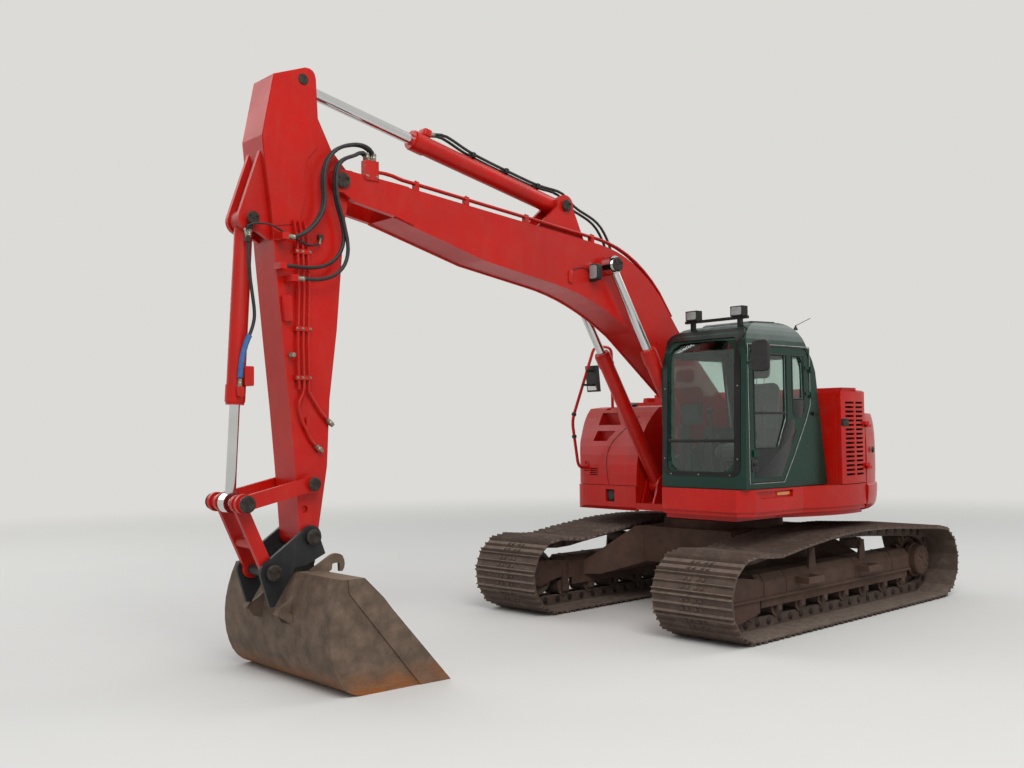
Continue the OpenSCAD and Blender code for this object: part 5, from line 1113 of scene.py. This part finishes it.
class EXCAVATOR_OT_arm_hardware(bpy.types.Operator):
    """Adds pin caps, weld beads, clamps' bolts, pipe ends, blocks and the work lamp of the boom and arm"""
    bl_idname = "excavator.arm_hardware"
    bl_label = "Boom and arm hardware"

    def execute(self, context):
        sizes = context.scene.excavator_hardware
        for body in dict.fromkeys(pin[0] for pin in PINS):
            shapes = []
            for x, z, y, radius in (pin[1:] for pin in PINS if pin[0] == body):
                reach, top = CAP_BOLT_REACH * radius, y + 0.9 * sizes.cap_thick
                places = [(x + reach * math.cos(a), z + reach * math.sin(a)) for a in CAP_BOLTS]
                for out in (1, -1):
                    shapes.append(placed(pin_cap(radius, sizes.cap_thick), (x, out * y, z), (0, out, 0)))
                    shapes += [placed(bolt(sizes.pin_bolt), (bx, out * top, bz), (0, out, 0)) for bx, bz in places]
            piece(body + "_pin_caps", shapes, PIN, PIN_BODY.get(body, body))
        turned_pieces(ARM_TURNED)
        self.welds(sizes.weld)
        self.clamps(bolt(sizes.pin_bolt), bolt(0.016))
        self.pipes()
        pieces_of_plates(ARM_PLATES)
        route, run = even_route(LAMP_CABLE)
        cable = piece("boom_lamp_cable", tube(route, CABLE_R, 12, OUT), HOSE, "boom")
        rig.cord(cable, exit=tuple(route[0]), length=run, diameter=2 * CABLE_R, far_end="object", stiffness="medium",
                lay="loose", path=route.tolist())
        return {"FINISHED"}

    def welds(self, radius):
        """Beads in the corners of the boom's box, at its nose, round the arm's side plates and on the coupler."""
        def beads(line, half_width, ripple=0.02):
            return [weld(in_xz(line, y), radius, OUT, ripple) for y in (-half_width, half_width)]
        piece("boom_welds", beads(BOOM_TOP - (0, 0.011), 0.184, 0.04) + beads(BOOM_BELLY + (0, 0.011), 0.184, 0.04)
              + beads(NOSE_WELDS[0], 0.201) + beads(NOSE_WELDS[1], 0.201), RED, "boom")
        piece("arm_welds", beads(ARM_WELD, 0.163), RED, "arm")
        piece("coupler_welds", beads(COUPLER_WELD, 0.168), COUPLER, "bucket")

    def clamps(self, large, small):
        """Bolts of the pipe clamps and of the blocks at the boom's nose."""
        tops = [placed(large, (x, y, boom_top_z(x) + 0.08)) for x in (2.15, 3.0, 3.7, 4.24) for y in (0.159, -0.159)]
        sides = [placed(large, (x, out * 0.232, 3.99), (0, out, 0)) for x in (4.68, 4.77) for out in (1, -1)]
        piece("boom_clamp_bolts", tops + sides, ZINC, "boom")
        piece("arm_clamp_bolts", [placed(small, (x, 0.204, z), OUT)
                                  for z in (3.318, 2.718, 2.338) for x in (5.288, 5.352, 5.398)], ZINC, "arm")

    def pipes(self):
        """The arm's two lowest pipes, the valve block and a clamp, and the screw couplings of all four."""
        ends = [smooth_path(in_xz(line, PIPE_Y), 5) for line in PIPE_ENDS]
        piece("arm_pipe_ends", [tube(end, PIPE_R, 12, OUT) for end in ends]
              + [plate((0.2, 0.07, 0.012, 0.045, 0.004), (5.48, 0.158, 2.87), OUT, (0.1, 0, 1)),
                 plate((0.03, 0.1, 0.006, 0.03, 0.003), (5.3, 0.158, 1.98), OUT)], RED, "arm")
        coupling = joined([lathe([(0.019, 0), (0.019, 0.03), (0.016, 0.032)], 6),
                           lathe([(0.018, 0.03), (0.021, 0.034), (0.021, 0.06), (0.017, 0.066), (0.017, 0.075)], 18)])
        piece("arm_couplings", [placed(coupling, end[-1], end[-1] - end[-2]) for end in ends]
              + [placed(coupling, (5.447, 0.158, 2.511), OUT)], ZINC, "arm")
        piece("arm_valve_couplings", [placed(coupling, (5.505, 0.18, z), AHEAD) for z in (2.9, 2.82)], PLASTIC, "arm")


# Tracks, in the source's own numbers

TURN = math.radians(3.05)
GAUGE, HALF_TUMBLER, END_R, END_Z, TREAD, PITCH = 2.39, 1.83, 0.362, 0.4, 0.038, 0.19
UPPER_RUN = [(0.79, 0.725), (0.57, 0.778), (0.21, 0.846), (-0.055, 0.859), (-0.33, 0.849), (-0.69, 0.802)]
# A shoe's bolts: shares of the pitch, places across, and their height over the chain's joints
SHOE_BOLTS, SHOE_TOP = [(share, y) for share in (0.29, 0.71) for y in (-0.105, -0.045, 0.045, 0.105)], 0.0115
LINK_PIN_DEPTH, LINK_PIN_OUT = 0.055, 0.097
FRAME_SECTION = [(0.156, 0.316), (0.156, 0.474), (0.098, 0.545), (-0.095, 0.545)]
FRAME_WELDS = (1.28, 0.9, -0.42, -1.2)
# Rings of bolts on the travel drive and on the guard beside the idler: x, radius, distance out, spanner, angles
TRACK_BOLTS = [(-HALF_TUMBLER, 0.178, 0.112, 0.02, np.arange(16) * math.pi / 8),
               (-HALF_TUMBLER, 0.1, 0.204, 0.02, np.arange(10) * math.pi / 5),
               (-HALF_TUMBLER, 0.055, 0.204, 0.03, np.array([0.8, 0.8 + math.pi])),
               (HALF_TUMBLER, 0.28, 0.1595, 0.024, np.radians([-60, -30, 0, 28]))]
# Middles of the lower rollers' and the carrier rollers' outer ends
ROLLERS = ([(x, 0.1465, 0.2143) for x in -0.02 + 0.79 * 2 * HALF_TUMBLER * (np.arange(8) / 7 - 0.5)]
           + [(0.384, 0.131, 0.676), (-0.604, 0.131, 0.679)])


def chain_joints():
    """The chain's joints: points at equal distances along the loop of two arcs, the ground run and the slack
    upper run."""
    def arc(x, start, end):
        a = np.radians(np.linspace(start, end, 25))
        return np.stack([x + END_R * np.cos(a), END_Z + END_R * np.sin(a)], axis=1)
    run = np.array(UPPER_RUN) * (HALF_TUMBLER, 1)
    loop = np.vstack([[(0, TREAD)], arc(HALF_TUMBLER, -90, 95.5), run, arc(-HALF_TUMBLER, 94.03, 270), [(0, TREAD)]])
    return parted(loop, round(arc_lengths(loop)[-1] / PITCH))


def on_track(points, side, directions=False):
    """Points (x, outward, z) of the left or right track, turned with the undercarriage about Z."""
    p = np.asarray(points, float).reshape(-1, 3) * (1, side, 1)
    if not directions:
        p = p + (0, side * GAUGE / 2, 0)
    c, s = math.cos(TURN), math.sin(TURN)
    return p @ np.array([[c, s, 0], [-s, c, 0], [0, 0, 1]])


class EXCAVATOR_OT_tracks(bpy.types.Operator):
    """Adds the shoes' bolts, the chain's pin ends, the hubs' bolts, the rollers' caps and the frames' weld seams"""
    bl_idname = "excavator.tracks"
    bl_label = "Track hardware"

    def execute(self, context):
        sizes = context.scene.excavator_hardware
        head = lathe(np.array([(0.58, 0), (0.58, 0.3), (0.42, 0.45)]) * sizes.shoe_bolt, 6)
        pin_end = lathe([(0.034, 0), (0.034, 0.006), (0.026, 0.01)], 12)
        joint = chain_joints()
        step = np.diff(joint, axis=0)
        way = step / np.linalg.norm(step, axis=1, keepdims=True)
        out = np.stack([way[:, 1], -way[:, 0]], axis=1)
        for name, side in (("left", 1), ("right", -1)):
            along, outward = (on_track(np.insert(v, 1, 0, axis=1), side, True) for v in (way, out))
            facing = on_track([OUT], side, True)
            flats = [np.insert(joint[:-1] + share * step + SHOE_TOP * out, 1, y, axis=1) for share, y in SHOE_BOLTS]
            piece(f"shoe_bolts_{name}", [copies(head, on_track(flat, side), outward, along) for flat in flats],
                  TRACK, "undercarriage")
            centre = joint[:-1] - LINK_PIN_DEPTH * out
            piece(f"chain_pins_{name}", [
                copies(pin_end, on_track(np.insert(centre, 1, turn * LINK_PIN_OUT, axis=1), side), facing * turn, along)
                for turn in (1, -1)], PIN, "undercarriage")
            rings = [copies(bolt(spanner), on_track(np.stack([
                x + radius * np.cos(a), np.full(len(a), y), END_Z + radius * np.sin(a)], axis=1), side), facing[0], UP)
                     for x, radius, y, spanner, a in TRACK_BOLTS]
            caps = copies(pin_cap(0.034, 0.008), on_track(ROLLERS, side), facing[0], UP)
            piece(f"track_hardware_{name}", rings + [caps], TRACK, "undercarriage")
            piece(f"track_frame_welds_{name}", [
                weld(on_track([(x, y, z) for y, z in FRAME_SECTION], side), sizes.weld, AHEAD) for x in FRAME_WELDS],
                RUSTY, "undercarriage")
        return {"FINISHED"}


# Cab

class EXCAVATOR_OT_cab(bpy.types.Operator):
    """Adds the windscreen's frame, seals, door trim with a light strip that is partly a painted edge highlight, mirror,
    lamps, aerial and the seat
    """
    bl_idname = "excavator.cab"
    bl_label = "Cab trim and seat"

    def execute(self, context):
        self.windscreen()
        self.seals(context.scene.excavator_hardware.seal)
        self.door()
        pieces_of_plates(CAB_PLATES)
        self.mirror()
        self.roof()
        self.seat()
        return {"FINISHED"}

    def windscreen(self):
        """A band between two rounded rectangles that lies on the cab's front: its x follows the front's curve at each
        point's height, and four rows give its outer edge, its two crests and its inner edge."""
        outer, inner = (subdivided(rounded_rectangle(*size) + middle, 6) for size, middle in SCREEN)
        rows = [(outer + share * (inner - outer), proud) for share, proud in SCREEN_ROWS]
        rings = np.stack([np.column_stack([cab_front(p[:, 1]) + proud, p]) for p, proud in rows])
        faces = grid_faces(4, len(outer), True, closed=True).tolist()
        piece("windscreen_frame", (rings.reshape(-1, 3), faces), BLACK, "house")
        piece("windscreen_screws", [placed(bolt(0.013), (float(cab_front(z)) + 0.008, y, z), (1, 0, 0.03))
                                    for y, z in SCREEN_SCREWS], ZINC, "house")

    def seals(self, radius):
        """Rubber hoops half sunk round each pane, whose middle line is the pane's outline."""
        piece("door_seals", [rubber(pane, PANE_Y, 8, radius) for pane in (FRONT_PANE, REAR_PANE)], SEAL, "cab_door")
        rear = subdivided(rounded_rectangle(0.77, 0.55, 0.05) + (0.945, 2.325), 2)
        rear = np.column_stack([0.178 + (rear[:, 1] - 1.345) * 0.154, rear])
        piece("cab_seals", [rubber(RIGHT_PANE, 0.4395, 8, radius), hoop(rear, circle(radius, 8), AHEAD)], SEAL, "house")

    def door(self):
        """The joint line round the door, the light strip inside it, which is a trim strip and a painted highlight along
        the door's edge, the handle and the glued panes.
        """
        piece("door_joint", rubber(inset(DOOR[::-1], -0.006)[::-1], DOOR_Y, 6, 0.006), SEAL, "house")
        # a light strip along the door's outline: a trim strip and a painted highlight on the door's edge
        piece("door_strip", rubber(inset(DOOR[::-1], 0.008)[::-1], DOOR_Y + 0.001, 6, 0.004), STRIP_AND_EDGE_HIGHLIGHT, "cab_door")
        lock = lathe([(0.011, 0), (0.011, 0.004), (0.008, 0.006)], 16)
        piece("door_handle", [plate((0.075, 0.03, 0.012, 0.014, 0.005), (1.355, 1.456, 1.57), OUT),
                              placed(lock, (1.355, 1.456, 1.525), OUT)], BLACK, "cab_door")
        for name, outline in (("lower", LOWER_GLAZING), ("rear", REAR_GLAZING)):
            pane = slab(np.array(outline)[::-1] * (1, -1), 0.005, 0.002)
            piece(f"door_glazing_{name}", placed(pane, (0, DOOR_Y, 0), OUT), TINTED, "cab_door")

    def mirror(self):
        """The mirror's bulged shell on its bent tube."""
        shell = slab(rounded_rectangle(0.19, 0.29, 0.05, 8), 0.036, 0.015, 6)
        arm = tube(smooth_path(MIRROR_ARM, 6), 0.011, 12)
        head = piece("cab_mirror_shell", [placed(shell, MIRROR, AHEAD, OUT), arm], PLASTIC, "house")
        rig.replaces(head, "cab_mirror")

    def roof(self):
        """Bezels of the roof lamps, and the aerial with its foot."""
        for number, y in ROOF_LAMPS:
            rim = subdivided(rounded_rectangle(0.128, 0.084, 0.016) + (y, 3.017), 2)
            rim = np.column_stack([np.full(len(rim), 1.283), rim])
            piece(f"roof_lamp_bezel_{number}", hoop(rim, circle(0.006, 8), AHEAD), PLASTIC, "house")
        foot = np.array([0.3, 1.2, float(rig.box("cab_shell")[1].z) - 0.06])
        piece("aerial", [placed(lathe([(0.022, 0), (0.022, 0.012), (0.012, 0.03), (0.006, 0.05)], 20), foot),
                         tube(spaced([foot + (0, 0, 0.045), foot + (-0.26, 0, 0.135)], 0.03), 0.0035, 8)],
              BLACK, "house")

    def seat(self):
        """The seat: a bellows base, a crowned cushion with two sewn channels, a back that leans and a headrest."""
        rings = 29
        column = np.stack([np.full(rings, 0.77), np.full(rings, SEAT_Y), np.linspace(1.39, 1.575, rings)], axis=1)
        folds = 1 - 0.09 * np.sin(np.arange(rings) * np.pi / 4) ** 2
        base = piece("seat_base", sweep(column, rounded_rectangle(0.36, 0.38, 0.06, 6), OUT, folds), SEAL, "house")
        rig.replaces(base, "operator_seat")
        for name, sizes, at, facing, up in SEAT_PADS:
            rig.padded(piece(name, placed(pad(*sizes), at, facing, up), CLOTH, "house"), fill=0.7)
        posts = [tube(spaced([(0.565, y, 2.3), (0.556, y, 2.43)], 0.03), 0.006, 10) for y in (0.9, 0.99)]
        piece("headrest_posts", posts, CHROME, "house")


# House

# Radii of the house's and the counterweight's round walls and of the solid black sheets inside, which stand for a mesh
# and for painted shade behind the slots, and how far trim is sunk
HOUSE_R, WEIGHT_R, MESH_AND_SHADE_R, SUNK = 1.6, 1.62, 1.545, 0.002
# Latches: body, x, z and side
LATCHES = [("left_side_door", 0.08, 1.95, 1), ("right_side_door", 0.05, 1.95, -1)]
# Solid black sheets behind the doors' slots, a mesh and painted shade in one: body, side, foot, top, and the x of the
# rear and the front end
MESH_AND_SHADE_SHEETS = [("left_side_door", 1, 1.4, 2.24, -0.32, 0.0), ("right_side_door", -1, 1.6, 1.95, -0.32, -0.1)]
DOME = [(0.05, 0), (0.05, 0.006), (0.046, 0.01), (0.03, 0.014), (0.012, 0.0155)]
LAMP_EYE = [(0.03, 0), (0.03, 0.014), (0.022, 0.02), (0.012, 0.018)]
HOUSE_TURNED = [
    ("headlamp_lens", LENS, "house", DOME, 32, ((float(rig.box("headlamp")[1].x) - 0.003, -0.821, 1.179), AHEAD)),
    ("rail_clamps", PLASTIC, "house", [(0.024, -0.016), (0.027, -0.012), (0.027, 0.012), (0.024, 0.016)], 20,
     ((1.0995, -1.2, 2.08), (-0.4, 0, 0.92)), ((1.0995, -1.2, 1.831), (0.17, 0, 0.985))),
    ("filler_cap", PLASTIC, "house", [(0.05, 0), (0.056, 0.006), (0.056, 0.028), (0.05, 0.034), (0.02, 0.036)], 24,
     ((0.342, -1.0, 2.165), (0.2, 0, 1))),
]
# The joint between the front housing's two panels, as [y, z], and the face it lies in, as [x, z]
HOUSING_JOINT = [(-0.62, 2.05), (-0.741, 1.9), (-0.86, 1.76), (-0.902, 1.62), (-0.88, 1.45), (-0.848, 1.3)]
HOUSING_FRONT = np.vstack([[(0.92, 1.28)], curve((0.92, 1.29), (0.92, 1.9), (0.52, 2.15), 24)])


def on_round(shape, x, z, radius, side=1):
    """The shape on the house's round wall, facing straight out from the slew centre."""
    y = side * math.sqrt(radius ** 2 - x ** 2)
    return placed(shape, (x * (1 - SUNK / radius), y * (1 - SUNK / radius), z), (x, y, 0), UP)


class EXCAVATOR_OT_body(bpy.types.Operator):
    """Adds the lamps, latches, caps, seams and rail clamps of the house"""
    bl_idname = "excavator.body"
    bl_label = "House trim"

    def execute(self, context):
        pieces_of_plates(HOUSE_PLATES)
        turned_pieces(HOUSE_TURNED)
        piece("weight_lamp", on_round(lathe(LAMP_EYE, 20), -0.5, 1.669, WEIGHT_R), PLASTIC, "house")
        self.doors()
        line = smooth_path([(0, y, z) for y, z in HOUSING_JOINT], 8)
        line[:, 0] = np.interp(line[:, 2], HOUSING_FRONT[:, 1], HOUSING_FRONT[:, 0])
        piece("housing_joint", tube(line, 0.004, 8), SEAL, "house")
        return {"FINISHED"}

    def doors(self):
        """Flush paddle latches with a key barrel, and solid black sheets on an arc inside the round wall, which stand
        for the mesh behind the slots and paint the shade in them.
        """
        sunk = plate((0.075, 0.12, 0.015, 0.006, 0.002), (0, 0, 0))
        paddle = joined([plate((0.04, 0.09, 0.01, 0.008, 0.003), (-0.008, 0, 0.005)),
                         placed(lathe([(0.008, 0), (0.008, 0.004), (0.005, 0.005)], 12), (0.025, 0, 0.005))])
        for name, x, z, side in LATCHES:
            piece(name + "_latch_plate", on_round(sunk, x, z, HOUSE_R, side), BLACK, name)
            piece(name + "_latch", on_round(paddle, x, z, HOUSE_R, side), PLASTIC, name)
        for name, side, low, high, rear, front in MESH_AND_SHADE_SHEETS:
            x = np.linspace(rear, front, 12)
            arc = np.stack([x, side * np.sqrt(MESH_AND_SHADE_R ** 2 - x ** 2), np.full(12, (low + high) / 2)], axis=1)
            half = (high - low) / 2
            # a solid black sheet: the mesh behind the slots, and painted shade in them
            piece(name + "_mesh", sweep(arc, [(-0.002, -half), (0.002, -half), (0.002, half), (-0.002, half)], UP),
                  SEAL, name)


CLASSES = [ExcavatorStage, ExcavatorHoses, ExcavatorHardware, EXCAVATOR_OT_stage, EXCAVATOR_OT_finishes,
           EXCAVATOR_OT_hoses, EXCAVATOR_OT_arm_hardware, EXCAVATOR_OT_tracks, EXCAVATOR_OT_cab, EXCAVATOR_OT_body]
STEPS = [c.bl_idname for c in CLASSES if issubclass(c, bpy.types.Operator)]


class EXCAVATOR_PT_panel(bpy.types.Panel):
    """Lists the steps in their order"""
    bl_label = "Crawler excavator"
    bl_space_type = "VIEW_3D"
    bl_region_type = "UI"
    bl_category = "Excavator"

    def draw(self, context):
        for step in STEPS:
            self.layout.operator(step)


def register():
    for cls in CLASSES + [EXCAVATOR_PT_panel]:
        bpy.utils.register_class(cls)
    bpy.types.Scene.excavator_stage = PointerProperty(type=ExcavatorStage)
    bpy.types.Scene.excavator_hoses = PointerProperty(type=ExcavatorHoses)
    bpy.types.Scene.excavator_hardware = PointerProperty(type=ExcavatorHardware)


def unregister():
    del bpy.types.Scene.excavator_stage, bpy.types.Scene.excavator_hoses, bpy.types.Scene.excavator_hardware
    for cls in reversed(CLASSES + [EXCAVATOR_PT_panel]):
        bpy.utils.unregister_class(cls)


def main():
    register()
    for step in STEPS:
        group, name = step.split(".")
        getattr(getattr(bpy.ops, group), name)()
    sizes = {"cad": [list(corner) for corner in cad_box], "visual": [list(corner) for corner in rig.bounds()]}
    with open("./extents.json", "w") as out:
        json.dump(sizes, out)


if __name__ == "__main__":
    main()
